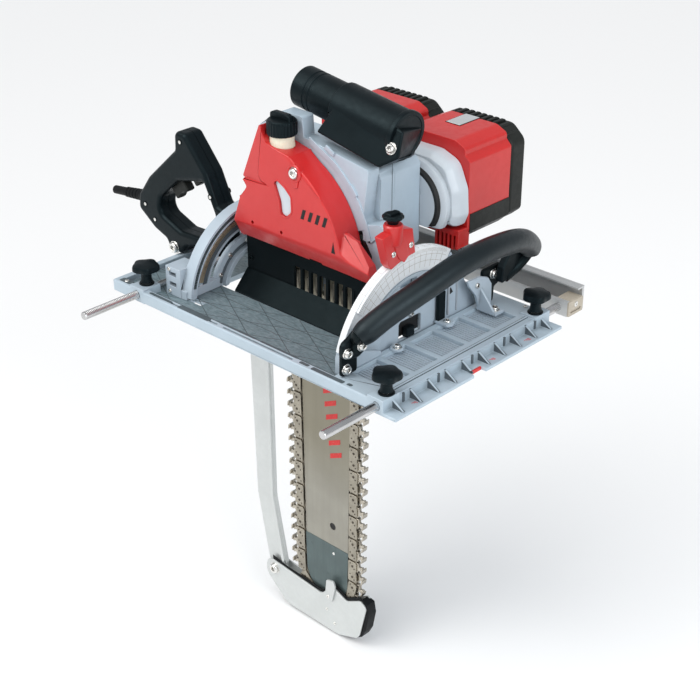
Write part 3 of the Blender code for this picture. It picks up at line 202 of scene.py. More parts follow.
LOOKS = {
    "plate": (material("plate_paint", (0.42, 0.51, 0.58), 0.42, 0.0, 0.07, 60, 0.35, 1.6, hollow_shade_and_grime=0.5,
                       extra=shaded_plate_floor, speck=0.25, speck_colour=(0.62, 0.68, 0.72), coat_weight=0.15),
              "plate_paint"),
    "cast": (material("cast_paint", (0.43, 0.51, 0.58), 0.42, 0.0, 0.07, 50, 0.35, 1.6, hollow_shade_and_grime=0.55,
                      coat_weight=0.15), "plate_paint"),
    "web": (material("web_paint", (0.38, 0.42, 0.46), 0.45, 0.0, 0.06, 45, 0.3, 1.6, hollow_shade_and_grime=0.5),
            "plate_paint"),
    "white": (material("white_paint", (0.84, 0.87, 0.89), 0.42, 0.0, 0.04, 40, 0.25, 1.5, hollow_shade_and_grime=0.35,
                       hollow_shade_and_grime_colour=(0.25, 0.27, 0.28)), "white_paint"),
    "housing": (material("housing_paint", (0.44, 0.54, 0.62), 0.40, 0.0, 0.06, 45, 0.3, 1.5, hollow_shade_and_grime=0.5,
                         coat_weight=0.2), "housing_paint"),
    "bell": (material("bell_paint", (0.60, 0.66, 0.71), 0.38, 0.0, 0.05, 45, 0.25, 1.4, hollow_shade_and_grime=0.45,
                      coat_weight=0.2), "housing_paint"),
    "red_plastic": (material("red_plastic", (0.56, 0.014, 0.012), 0.36, 0.0, 0.07, 55, 0.18, 0.9, hollow_shade_and_grime=0.35,
                             hollow_shade_and_grime_colour=(0.12, 0.01, 0.01), coat_weight=0.25, coat_roughness=0.25),
                    "red_plastic"),
    "red": (material("red_paint", (0.58, 0.018, 0.018), 0.36, 0.0, 0.06, 60, 0.15, 1.0, hollow_shade_and_grime=0.35,
                     hollow_shade_and_grime_colour=(0.12, 0.01, 0.01), speck=0.12, speck_colour=(0.45, 0.06, 0.05),
                     coat_weight=0.3, coat_roughness=0.22), "red_paint"),
    "black": (material("black_plastic", (0.004, 0.0065, 0.008), 0.36, 0.0, 0.3, 35, 0.35, 0.8, speck=0.10,
                       speck_colour=(0.012, 0.018, 0.022), specular_ior_level=0.17,
                       specular_tint=(0.65, 0.92, 1.0, 1.0)), "black_plastic"),
    "cap": (material("cap_plastic", (0.016, 0.018, 0.016), 0.46, 0.0, 0.2, 35, 0.4, 0.9,
                     specular_ior_level=0.2), "black_plastic"),
    "black_paint": (material("black_paint", (0.004, 0.006, 0.007), 0.36, 0.0, 0.2, 45, 0.3, 1.6, speck=0.12,
                             speck_colour=(0.03, 0.03, 0.03), hollow_shade_and_grime=0.3, hollow_shade_and_grime_colour=(0.002, 0.002, 0.002),
                             specular_ior_level=0.13, specular_tint=(0.6, 0.92, 1.0, 1.0)), "black_paint"),
    "grip": (material("grip_rubber", (0.006, 0.009, 0.011), 0.38, 0.0, 0.2, 30, 0.55, 0.7, rough_spread=0.06,
                      specular_ior_level=0.34, specular_tint=(0.75, 0.93, 1.0, 1.0)), "grip_rubber"),
    "rubber": (material("soft_rubber", (0.005, 0.006, 0.007), 0.5, 0.0, 0.2, 30, 0.6, 0.9,
                        specular_ior_level=0.15), "grip_rubber"),
    "rod": (material("rod_steel", (0.60, 0.60, 0.60), 0.26, 1.0, 0.10, 25, 0.25, 0.9, stretch=(1, 0.08, 1),
                     hollow_shade_and_grime=0.35, hollow_shade_and_grime_colour=(0.28, 0.22, 0.16)), "rod_steel"),
    "bar": (material("bar_steel", (0.34, 0.325, 0.28), 0.36, 0.85, 0.10, 50, 0.30, 0.7, stretch=(1, 1, 0.05),
                     hollow_shade_and_grime=0.3, extra=bar_upper_tint), "bar_steel"),
    "nose": (material("nose_steel", (0.10, 0.135, 0.135), 0.45, 0.5, 0.12, 30, 0.3, 0.8,
                      stretch=(1, 1, 0.1)), "bar_steel"),
    "chain": (material("chain_steel", (0.36, 0.33, 0.27), 0.34, 0.85, 0.25, 14, 0.35, 0.9, hollow_shade_and_grime=0.8,
                       hollow_shade_and_grime_colour=(0.09, 0.06, 0.035), hollow_shade_and_grime_reach=4.0, speck=0.35,
                       speck_colour=(0.20, 0.13, 0.07), speck_size=3.0), "chain_steel"),
    "tooth": (material("tooth_steel", (0.50, 0.46, 0.39), 0.28, 0.95, 0.12, 12, 0.25, 0.8, hollow_shade_and_grime=0.5),
              "chain_steel"),
    "pin": (material("rivet_steel", (0.07, 0.055, 0.04), 0.4, 0.6, 0.2, 10, 0.3, 0.8), "chain_steel"),
    "zinc": (material("zinc_plated", (0.82, 0.81, 0.78), 0.22, 1.0, 0.08, 10, 0.2, 0.8, hollow_shade_and_grime=0.5),
             "zinc_plated"),
    "brass": (material("scale_brass", (0.52, 0.42, 0.30), 0.42, 0.75, 0.10, 16, 0.2, 0.8), "scale_brass"),
    "rail": (material("rail_aluminium", (0.55, 0.56, 0.56), 0.40, 0.45, 0.06, 40, 0.25, 0.8,
                      stretch=(0.06, 1, 1)), "bare_aluminium"),
    "guard": (material("guard_aluminium", (0.62, 0.64, 0.63), 0.40, 0.5, 0.05, 30, 0.22, 0.9, hollow_shade_and_grime=0.3),
              "bare_aluminium"),
    "cream": (material("oil_tank_plastic", (0.80, 0.76, 0.60), 0.42, 0.0, 0.05, 25, 0.2, 1.0, hollow_shade_and_grime=0.3,
                       subsurface_weight=0.08, subsurface_radius=(0.004, 0.003, 0.002)), "oil_tank_plastic"),
    "end_cap": (material("end_cap_plastic", (0.46, 0.41, 0.33), 0.55, 0.0, 0.12, 12, 0.35, 1.2, hollow_shade_and_grime=0.5),
                "oil_tank_plastic"),
    # Near-black for printed marks, and also laid into holes, slots and windows as painted shade.
    "ink_and_gap_shade": (material("ink_and_gap_shade", (0.006, 0.006, 0.006), 0.6, 0.0, 0.2, 10, 0.1), "black_paint"),
    "fine_ink": (material("fine_ink", (0.42, 0.38, 0.33), 0.6, 0.0, 0.2, 10, 0.1), "black_paint"),
    "groove": (material("groove_shade", (0.075, 0.10, 0.112), 0.5, 0.0, 0.15, 20, 0.2, 1.4), "plate_paint"),
    "shade": (material("gusset_shade", (0.085, 0.105, 0.12), 0.48, 0.0, 0.10, 25, 0.25, 1.4), "plate_paint"),
    "red_ink": (material("red_ink", (0.62, 0.02, 0.02), 0.5, 0.0, 0.15, 12, 0.15, 1.0, speck=0.5,
                         speck_colour=(0.45, 0.35, 0.25)), "red_paint"),
    "core": (material("motor_core", (0.40, 0.33, 0.28), 0.45, 0.8, 0.15, 10, 0.3, stretch=(1, 8, 1)),
             "motor_core"),
    "silver_label": (material("silver_label", (0.70, 0.72, 0.73), 0.35, 0.6, 0.05, 12, 0.1),
                     "bare_aluminium"),
}


# Shapes ----------------------------------------------------------------------------
def add_object(name, data):
    """A new object in the scene's collection."""
    made = bpy.data.objects.new(name, data)
    bpy.context.scene.collection.objects.link(made)
    return made


def finish_mesh(name, work, look, body, replaces=(), angle=32, weighted=True):
    """Make an object from a bmesh in metres, give it its look and let it ride on its body."""
    mesh = bpy.data.meshes.new(name)
    work.normal_update()
    work.to_mesh(mesh)
    work.free()
    mesh.shade_smooth()
    mesh.set_sharp_from_angle(angle=radians(angle))
    piece = add_object(name, mesh)
    paint, slot = LOOKS[look]
    mesh.materials.append(paint)
    if weighted:
        normals = piece.modifiers.new("normals", "WEIGHTED_NORMAL")
        normals.keep_sharp = True
    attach(piece, body)
    if replaces:
        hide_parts(*replaces)
    return piece


def mesh_of(piece):
    """The evaluated mesh of a helper object as a bmesh in world space; the object is removed."""
    graph = bpy.context.evaluated_depsgraph_get()
    mesh = bpy.data.meshes.new_from_object(piece.evaluated_get(graph))
    work = bmesh.new()
    work.from_mesh(mesh)
    work.transform(piece.matrix_world)
    bpy.data.meshes.remove(mesh)
    bpy.data.objects.remove(piece, do_unlink=True)
    return work


PLANES = {"XY": Matrix.Identity(4), "XZ": Matrix(((1, 0, 0, 0), (0, 0, -1, 0), (0, 1, 0, 0), (0, 0, 0, 1))),
          "YZ": Matrix(((0, 0, 1, 0), (1, 0, 0, 0), (0, 1, 0, 0), (0, 0, 0, 1))),}
NORMALS = {"XY": Vector(UP), "XZ": Vector(FAR), "YZ": Vector(AHEAD)}


def signed_area(outline):
    return sum(a[0] * b[1] - b[0] * a[1] for a, b in zip(outline, outline[1:] + outline[:1])) / 2


def prism_mesh(outlines, plane, low, high, edge=0.0, segments=2):
    """Flat outline from low to high along the plane's normal, its rims rounded by edge."""
    curve = bpy.data.curves.new("outline", "CURVE")
    curve.dimensions = "2D"
    curve.fill_mode = "BOTH"
    curve.extrude = ((high - low) / 2 - edge) * MM
    curve.bevel_depth = edge * MM
    curve.bevel_resolution = segments
    curve.offset = -edge * MM
    for i, outline in enumerate(outlines):
        outline = list(outline)
        if (signed_area(outline) > 0) != (i == 0):
            outline.reverse()
        spline = curve.splines.new("POLY")
        spline.points.add(len(outline) - 1)
        for point, (a, b) in zip(spline.points, outline):
            point.co = (a * MM, b * MM, 0, 1)
        spline.use_cyclic_u = True
    helper = add_object("outline", curve)
    helper.matrix_world = Matrix.Translation(NORMALS[plane] * (low + high) / 2 * MM) @ PLANES[plane]
    bpy.context.view_layer.update()
    work = mesh_of(helper)
    bpy.data.curves.remove(curve)
    bmesh.ops.remove_doubles(work, verts=work.verts, dist=0.00001)
    bmesh.ops.recalc_face_normals(work, faces=work.faces)
    return work


def prism(name, outlines, plane, low, high, look, body, edge=0.6, segments=2, replaces=(), angle=32):
    return finish_mesh(name, prism_mesh(outlines, plane, low, high, edge, segments), look, body, replaces,
                       angle)


def to_world(origin, direction):
    turn = Vector(direction).to_track_quat("Z", "Y").to_matrix().to_4x4()
    return Matrix.Translation(Vector(origin) * MM) @ turn


def skin(work, pairs, steps):
    """Faces between pairs of rings; a ring of one point closes an end."""
    for first, second in pairs:
        for i in range(steps):
            j = (i + 1) % steps
            corners = [first[i % len(first)], first[j % len(first)], second[j % len(second)],
                       second[i % len(second)]]
            corners = [v for k, v in enumerate(corners) if v not in corners[:k]]
            if len(corners) > 2:
                work.faces.new(corners)


def lathe_mesh(profile, origin, direction, steps=48, shape=None):
    """Turned solid; profile is (radius, height) up the outer side.

    shape(radius, height, angle) may change the radius.
    """
    work = bmesh.new()
    rings = []
    for radius, height in profile:
        if radius <= 0:
            rings.append([work.verts.new((0, 0, height * MM))])
            continue
        ring = []
        for i in range(steps):
            angle = 2 * pi * i / steps
            r = shape(radius, height, angle) if shape else radius
            ring.append(work.verts.new((r * cos(angle) * MM, r * sin(angle) * MM, height * MM)))
        rings.append(ring)
    closed = profile[0][0] > 0 and profile[-1][0] > 0
    pairs = list(zip(rings, rings[1:])) + ([(rings[-1], rings[0])] if closed else [])
    skin(work, pairs, steps)
    work.transform(to_world(origin, direction))
    bmesh.ops.recalc_face_normals(work, faces=work.faces)
    return work


def lathe(name, profile, origin, direction, look, body, steps=48, replaces=(), shape=None, angle=32):
    return finish_mesh(name, lathe_mesh(profile, origin, direction, steps, shape), look, body, replaces,
                       angle)


def lofted(sections):
    """Closed body through matching outlines in (X, Z), each at its own Y."""
    work = bmesh.new()
    rings = [[work.verts.new(Vector((a, y, b)) * MM) for a, b in outline] for outline, y in sections]
    work.faces.new(rings[0])
    work.faces.new(rings[-1][::-1])
    skin(work, zip(rings, rings[1:]), len(rings[0]))
    bmesh.ops.recalc_face_normals(work, faces=work.faces)
    return work


def brick_mesh(low, high, edge=0.8, segments=2, matrix=None):
    work = bmesh.new()
    low, high = Vector(low), Vector(high)
    size = Matrix.Diagonal((high - low) * MM).to_4x4()
    bmesh.ops.create_cube(work, size=1.0, matrix=Matrix.Translation((high + low) / 2 * MM) @ size)
    if edge:
        bmesh.ops.bevel(work, geom=work.edges[:], offset=edge * MM, segments=segments, affect="EDGES",
                        profile=0.5)
    if matrix:
        work.transform(matrix)
    return work


def brick(name, low, high, look, body, edge=0.8, segments=2, matrix=None):
    return finish_mesh(name, brick_mesh(low, high, edge, segments, matrix), look, body)


def merge(works):
    """Several bmeshes in one."""
    total = bmesh.new()
    for work in works:
        mesh = bpy.data.meshes.new("part")
        work.to_mesh(mesh)
        work.free()
        total.from_mesh(mesh)
        bpy.data.meshes.remove(mesh)
    return total


def boolean(base, tools, operation="DIFFERENCE"):
    """Cut bmeshes out of a bmesh, or join them to it, with the exact solver."""
    def to_object(work, name):
        mesh = bpy.data.meshes.new(name)
        work.to_mesh(mesh)
        work.free()
        return add_object(name, mesh)

    target = to_object(base, "boolean_base")
    helpers = [to_object(tool, "boolean_tool") for tool in tools]
    for helper in helpers:
        change = target.modifiers.new("boolean", "BOOLEAN")
        change.operation = operation
        change.solver = "EXACT"
        change.object = helper
    bpy.context.view_layer.update()
    work = mesh_of(target)
    for helper in helpers:
        bpy.data.objects.remove(helper, do_unlink=True)
    return work


def soften(work, width, segments=2, angle=35, longest_ratio=2.2):
    """Merge flat faces and round every clear edge."""
    bmesh.ops.remove_doubles(work, verts=work.verts, dist=0.00002)
    bmesh.ops.dissolve_limit(work, angle_limit=radians(0.8), verts=work.verts, edges=work.edges,
                             use_dissolve_boundaries=False)
    edges = [e for e in work.edges if len(e.link_faces) == 2 and e.calc_face_angle(0) > radians(angle)
             and e.calc_length() > width * longest_ratio * MM]
    bmesh.ops.bevel(work, geom=edges, offset=width * MM, segments=segments, affect="EDGES", profile=0.5,
                    clamp_overlap=False, loop_slide=True)
    return work


def refined(node, width, look, body, segments=2, name=None):
    """The CAD solid with its edges rounded."""
    work = bmesh.new()
    work.from_mesh(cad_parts[node].data)
    bmesh.ops.remove_doubles(work, verts=work.verts, dist=0.00001)
    bmesh.ops.recalc_face_normals(work, faces=work.faces)
    soften(work, width, segments)
    return finish_mesh(name or node + "_body", work, look, body, (node,))


def keep_node(node, look):
    """A CAD node that stays, with a better material."""
    paint, slot = LOOKS[look]
    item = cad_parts[node]
    item.data.materials.clear()
    item.data.materials.append(paint)


def smooth_line(points, per_span):
    points = [Vector(p) for p in points]
    ends = [2 * points[0] - points[1], *points, 2 * points[-1] - points[-2]]
    line = []
    for i in range(len(points) - 1):
        a, b, c, d = ends[i:i + 4]
        for step in range(per_span):
            t = step / per_span
            square, cube = 2 * a - 5 * b + 4 * c - d, 3 * b - a - 3 * c + d
            line.append(0.5 * (2 * b + (c - a) * t + square * t * t + cube * t * t * t))
    return [*line, points[-1]]


def sweep_mesh(path, radii, steps=32):
    """Round body along a path with a radius at each point; a zero radius closes an end."""
    work = bmesh.new()
    normal = Vector(UP)
    rings = []
    for i, (place, radius) in enumerate(zip(path, radii)):
        run = path[min(i + 1, len(path) - 1)] - path[max(i - 1, 0)]
        if run.length < 1e-6:
            run = path[min(i + 2, len(path) - 1)] - path[max(i - 2, 0)]
        ahead = run.normalized()
        side = ahead.cross(normal).normalized()
        normal = side.cross(ahead).normalized()
        if radius <= 0:
            rings.append([work.verts.new(place * MM)])
        else:
            rings.append([work.verts.new((place + (side * cos(2 * pi * k / steps)
                    + normal * sin(2 * pi * k / steps)) * radius) * MM) for k in range(steps)])
    skin(work, zip(rings, rings[1:]), steps)
    bmesh.ops.recalc_face_normals(work, faces=work.faces)
    return work


def arc(centre, radius, start, end, steps):
    return [(centre[0] + radius * cos(radians(start + (end - start) * i / steps)), centre[1]
             + radius * sin(radians(start + (end - start) * i / steps))) for i in range(steps + 1)]


def circle(centre, radius, steps=32):
    return arc(centre, radius, 0, 360 - 360 / steps, steps - 1)


def sector(inner, outer, start, end, steps):
    """Ring piece about the tilt axis in (Y, Z); angles lean from +Z towards -Y."""
    return arc((0, 0), outer, 90 + start, 90 + end, steps) + arc((0, 0), inner, 90 + end, 90 + start, steps)


def rounded(corners, steps=6):
    """Outline of (a, b, radius) corners with each corner made round."""
    outline = []
    for i, (a, b, radius) in enumerate(corners):
        here = Vector((a, b))
        before = (Vector(corners[i - 1][:2]) - here).normalized()
        after = (Vector(corners[(i + 1) % len(corners)][:2]) - here).normalized()
        if radius <= 0:
            outline.append((a, b))
            continue
        half = before.angle(after) / 2
        reach = radius / tan(half)
        middle = here + (before + after).normalized() * radius / sin(half)
        first, last = here + before * reach - middle, here + after * reach - middle
        turn = first.angle_signed(last)
        for step in range(steps + 1):
            spoke = first.copy()
            spoke.rotate(Matrix.Rotation(-turn * step / steps, 2))
            outline.append(tuple(middle + spoke))
    return outline


def hexagonal(radius, angle):
    """Radius of a hexagon with this outer radius, at an angle."""
    turn = (angle + pi / 6) % (pi / 3) - pi / 6
    return radius * cos(pi / 6) / cos(turn)


def screw(name, place, direction, radius, height, body, look="zinc", washer=0.0):
    """Screw head with a hexagon recess and, if asked, a washer under it."""
    def shape(r, h, angle):
        return hexagonal(r, angle) if r < radius * 0.6 - 0.001 else r

    hollow = radius * 0.52
    profile = [(0, -0.4), (radius * 0.95, -0.4), (radius, 0.15 * height), (radius, height * 0.6),
               (radius * 0.93, height * 0.85), (radius * 0.8, height), (hollow + 0.35, height),
               (hollow, height * 0.94), (hollow, height * 0.3), (0, height * 0.25)]
    works = [lathe_mesh(profile, place, direction, 36, shape)]
    if washer:
        works.append(lathe_mesh([(0, -0.8), (washer, -0.8), (washer, 0.1), (washer - 0.3, 0.35), (0, 0.35)],
                                place, direction, 36))
    return finish_mesh(name, merge(works), look, body)


def hexagon_nut(name, place, direction, size, height, body):
    def shape(r, h, angle):
        return hexagonal(r, angle) if r > size * 0.7 else r

    profile = [(0, 0), (size * 0.94, 0), (size, height * 0.15), (size, height * 0.85), (size * 0.92, height),
               (size * 0.5, height), (size * 0.5, height + 1.2), (size * 0.42, height + 1.8),
               (0, height + 1.8)]
    return lathe(name, profile, place, direction, "zinc", body, 36, (), shape, 25)


def marks(name, boxes, look, body):
    """Many small raised strokes in one piece; each is (low, high, matrix)."""
    return finish_mesh(name, merge([brick_mesh(low, high, 0.0, 1, matrix) for low, high, matrix in boxes]),
                       look, body)


# Base plate ------------------------------------------------------------------------
def clip(start, end, box):
    """The part of a segment that lies in a box, or None."""
    low, high = 0.0, 1.0
    for axis in (0, 1):
        run = end[axis] - start[axis]
        if abs(run) < 1e-9:
            if not box[0][axis] <= start[axis] <= box[1][axis]:
                return None
            continue
        first, second = ((box[side][axis] - start[axis]) / run for side in (0, 1))
        low, high = max(low, min(first, second)), min(high, max(first, second))
    if high - low < 1e-6:
        return None
    return [tuple(start[k] + (end[k] - start[k]) * t for k in (0, 1)) for t in (low, high)]


def base():
    refined("base_plate", 0.9, "plate", "base", 2)
    strips = [((-348, -123), (-4, -50)), ((-348, 32), (-4, 138)), ((-348, -48), (-298, 30))]
    works = []
    for slope, spacing in ((0.42, 31.0), (-0.55, 37.0), (0.0, 24.0)):
        for i in range(-12, 24):
            start = (-420, -260 + i * spacing)
            end = (60, start[1] + 480 * slope)
            for strip in strips:
                piece = clip(start, end, strip)
                if piece:
                    a, b = (Vector((*p, 0)) for p in piece)
                    length = (b - a).length
                    if length > 4:
                        turn = Matrix.Rotation(Vector((1, 0)).angle_signed((b - a).xy) * -1, 4, "Z")
                        works.append(brick_mesh((-length / 2, -0.45, 7.9), (length / 2, 0.45, 8.2), 0.1, 1,
                                                Matrix.Translation((a + b) / 2 * MM) @ turn))
    finish_mesh("floor_ribs", merge(works), "groove", "base", weighted=False)
    floors = []
    for i in range(5):
        low = -107 + i * 46.0
        floors.append(brick_mesh((6.3, low + 0.3, 3.8), (55.4, low + 38.7, 10.6), 0.5))
        for k in range(9):
            floors.append(brick_mesh((9, low + 3.0 + 4.0 * k, 10), (52.5, low + 4.1 + 4.0 * k, 11.3), 0.3))
    finish_mesh("pocket_floors", merge(floors), "cast", "base")
    lines = [brick_mesh((x, -110, 14.8), (x + 1.3, 124, 15.25), 0.2) for x in (60.2, 63.6)]
    finish_mesh("ridge_grooves", merge(lines), "groove", "base")
    edge_lines = [brick_mesh((61.6, -112, 14.9), (63.5, 126, 15.9), 0.3),
                  brick_mesh((71.5, -131, 14.9), (72.6, 146, 15.5), 0.2)]
    finish_mesh("ridge_lines", merge(edge_lines), "cast", "base")
    fins, steps = [], []
    for i in range(10):
        y = PLATE_Y[0] + 16 + i * (PLATE_Y[1] - PLATE_Y[0] - 32) / 9
        fins.append(prism_mesh([[(73.2, 3.9), (89.2, 3.9), (89.2, 4.7), (73.2, 14.4)]], "XZ", y - 1.6,
                               y + 1.6, 0.3))
        steps.append(brick_mesh((72.5, y - 12.6, 4), (75.2, y - 9.4, 14.4), 0.4))
    finish_mesh("ledge_fins", merge(fins), "shade", "base")
    finish_mesh("ledge_steps", merge(steps[1::2]), "shade", "base")
    dents = [rounded([(-298, -131, 3), (-258, -131, 3), (-258, -127, 3), (-298, -127, 3)])]
    dents += [rounded([(a, low, 1.8), (b, low, 1.8), (b, high, 1.8), (a, high, 1.8)]) for a, b, low,
              high in ((-246, -193, -132.6, -125.6), (-179, -122, -126.2, -123.2),
                       (-115, -56, -126.2, -123.2), (-50, -36, -131, -126.5), (-31, 16, -132.6, -126.8),
                       (20, 27, -131, -126.5), (-352, -333, -131.5, -123))]
    finish_mesh("rim_dents", merge([prism_mesh([dent], "XY", 14.6, 15.12, 0.1) for dent in dents]), "groove",
                "base")
    prism("sight_paint", [[(84.4, -7.6), (86.2, -7.6), (86.2, 11.6), (84.4, 11.6)]], "XY", 0.2, 4.2,
          "red_ink", "base", 0.1)
    flecks = []
    for y, size in ((-96, 3.2), (33, 3.8), (96, 4.2)):
        for k in range(3):
            flecks.append(((83 + 1.6 * k, y - size + 2 * k, 4.0), (83.7 + 1.6 * k, y + size, 4.12), None))
    marks("ledge_marks", flecks, "red_ink", "base")
    for i, (x, y) in enumerate(((6.5, -36), (8.5, 47))):
        lathe(f"foot_boss_{i}", [(0, 14.8), (7.5, 14.8), (7.5, 16.5), (6.8, 17.2), (0, 17.2)], (x, y, 0), UP,
              "cast", "base")
        screw(f"foot_screw_{i}", (x, y, 17.4), UP, 4.4, 3.2, "base", washer=5.6)
    for i, (x, y) in enumerate(((-341, -128), (-345, 143), (-160, 143), (46, 142))):
        screw(f"rim_screw_{i}", (x, y, 15.2), UP, 2.8, 1.6, "base", "zinc")


def knob(name, x, y):
    body = f"knob_{name}"
    shape = [(0, 20.8), (7.2, 20.8), (7.4, 22), (6.4, 24), (6.2, 31), (8, 34.2), (14.4, 35.4), (15.6, 36.8),
             (15.6, 41), (14.6, 43), (9, 44.4), (0, 44.8)]

    def lobes(radius, height, angle):
        return radius * (1 + (0.07 * cos(angle * 5) if radius > 10 else 0))

    lathe(f"knob_cap_{name}", shape, (x, y, 0), UP, "black", body, 120, (f"rod_knob_{name}",), lobes, 40)
    lathe(f"knob_stud_{name}", [(0, 14.6), (3.9, 14.6), (3.9, 21), (0, 21)], (x, y, 0), UP, "zinc", body, 24)
    lathe(f"knob_washer_{name}", [(4.2, 18.1), (9, 18.1), (9, 19.2), (8.6, 19.5), (4.2, 19.5)], (x, y, 0),
          UP, "black", "base", 36)
    hexagon_nut(f"knob_nut_{name}", (x, y, 19.5), UP, 6.4, 1.2, "base")


def side_fence():
    low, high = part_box("fence_rail")
    near, far, top = low[1] / MM, high[1] / MM, high[2] / MM
    channel = [(near, 0), (far, 0), (far, top), (far - 3.5, top), (far - 3.5, 4), (near + 4, 4),
               (near + 4, 19), (near, 19)]
    prism("fence_channel", [channel], "YZ", low[0] / MM, high[0] / MM - 0.6, "rail", "side_fence", 0.5, 2,
          ("fence_rail",))
    brick("rail_lip", (low[0] / MM, far - 12, top - 2.6), (high[0] / MM - 0.6, far - 3, top), "rail",
          "side_fence", 0.5)
    lines = [brick_mesh((-331.5, 181.8, z), (65.5, 182.3, z + 0.7), 0.0) for z in (7, 11, 15)]
    lines += [brick_mesh((-331.5, y, 29.8), (79.5, y + 0.8, 30.25), 0.1) for y in (200, 206)]
    lines += [brick_mesh((-331.5, y, 3.9), (65, y + 0.9, 4.5), 0.1) for y in (188, 194)]
    finish_mesh("rail_lines", merge(lines), "rail", "side_fence")
    prism("rail_end_cap", [rounded([(177.7, 0.4, 1.5), (206, 0.4, 1.5), (206, 18.9, 1.5),
            (177.7, 18.9, 1.5)]), rounded([(182, 4, 1.5), (202, 4, 1.5), (202, 7, 1.5), (182, 7, 1.5)])],
          "YZ", 79.3, 81.6, "end_cap", "side_fence", 0.4)
    prism("rail_end_block", [rounded([(182.3, 1.2, 1.0), (205.4, 1.2, 1.0), (205.4, 19.4, 2),
            (182.3, 19.4, 2)])], "YZ", 62, 80, "end_cap", "side_fence", 0.6)
    screw("rail_screw", (81.6, 192, 13), AHEAD, 3.4, 0.6, "side_fence")
    for name, x, far in (("front", 66, 184), ("rear", -315, 190)):
        profile = [(0, far), (5, far), (5, -120)]
        if name == "rear":
            for k in range(42):
                z = -124 - 2.1 * k
                profile += [(5, z), (4.75, z - 0.35), (4.75, z - 0.9), (5, z - 1.25)]
        profile += [(5, -212.6), (4.4, -213.7), (3.6, -214), (0, -214)]
        lathe(f"fence_rod_{name}", profile[::-1], (x, 0, 9), FAR, "rod", "side_fence", 36,
              (f"guide_rod_{name}",))


# Quadrants -------------------------------------------------------------------------
def ring_place(x, angle, radius):
    """Matrix at a point of a quadrant: local X runs along the arc, local Y outwards, local Z along +X."""
    t = radians(angle)
    out = Vector((0, -sin(t), cos(t)))
    along = Vector((0, cos(t), sin(t)))
    matrix = Matrix((along, out, Vector(AHEAD))).transposed().to_4x4()
    matrix.translation = (Vector((x, 0, 0)) + out * radius) * MM
    return matrix


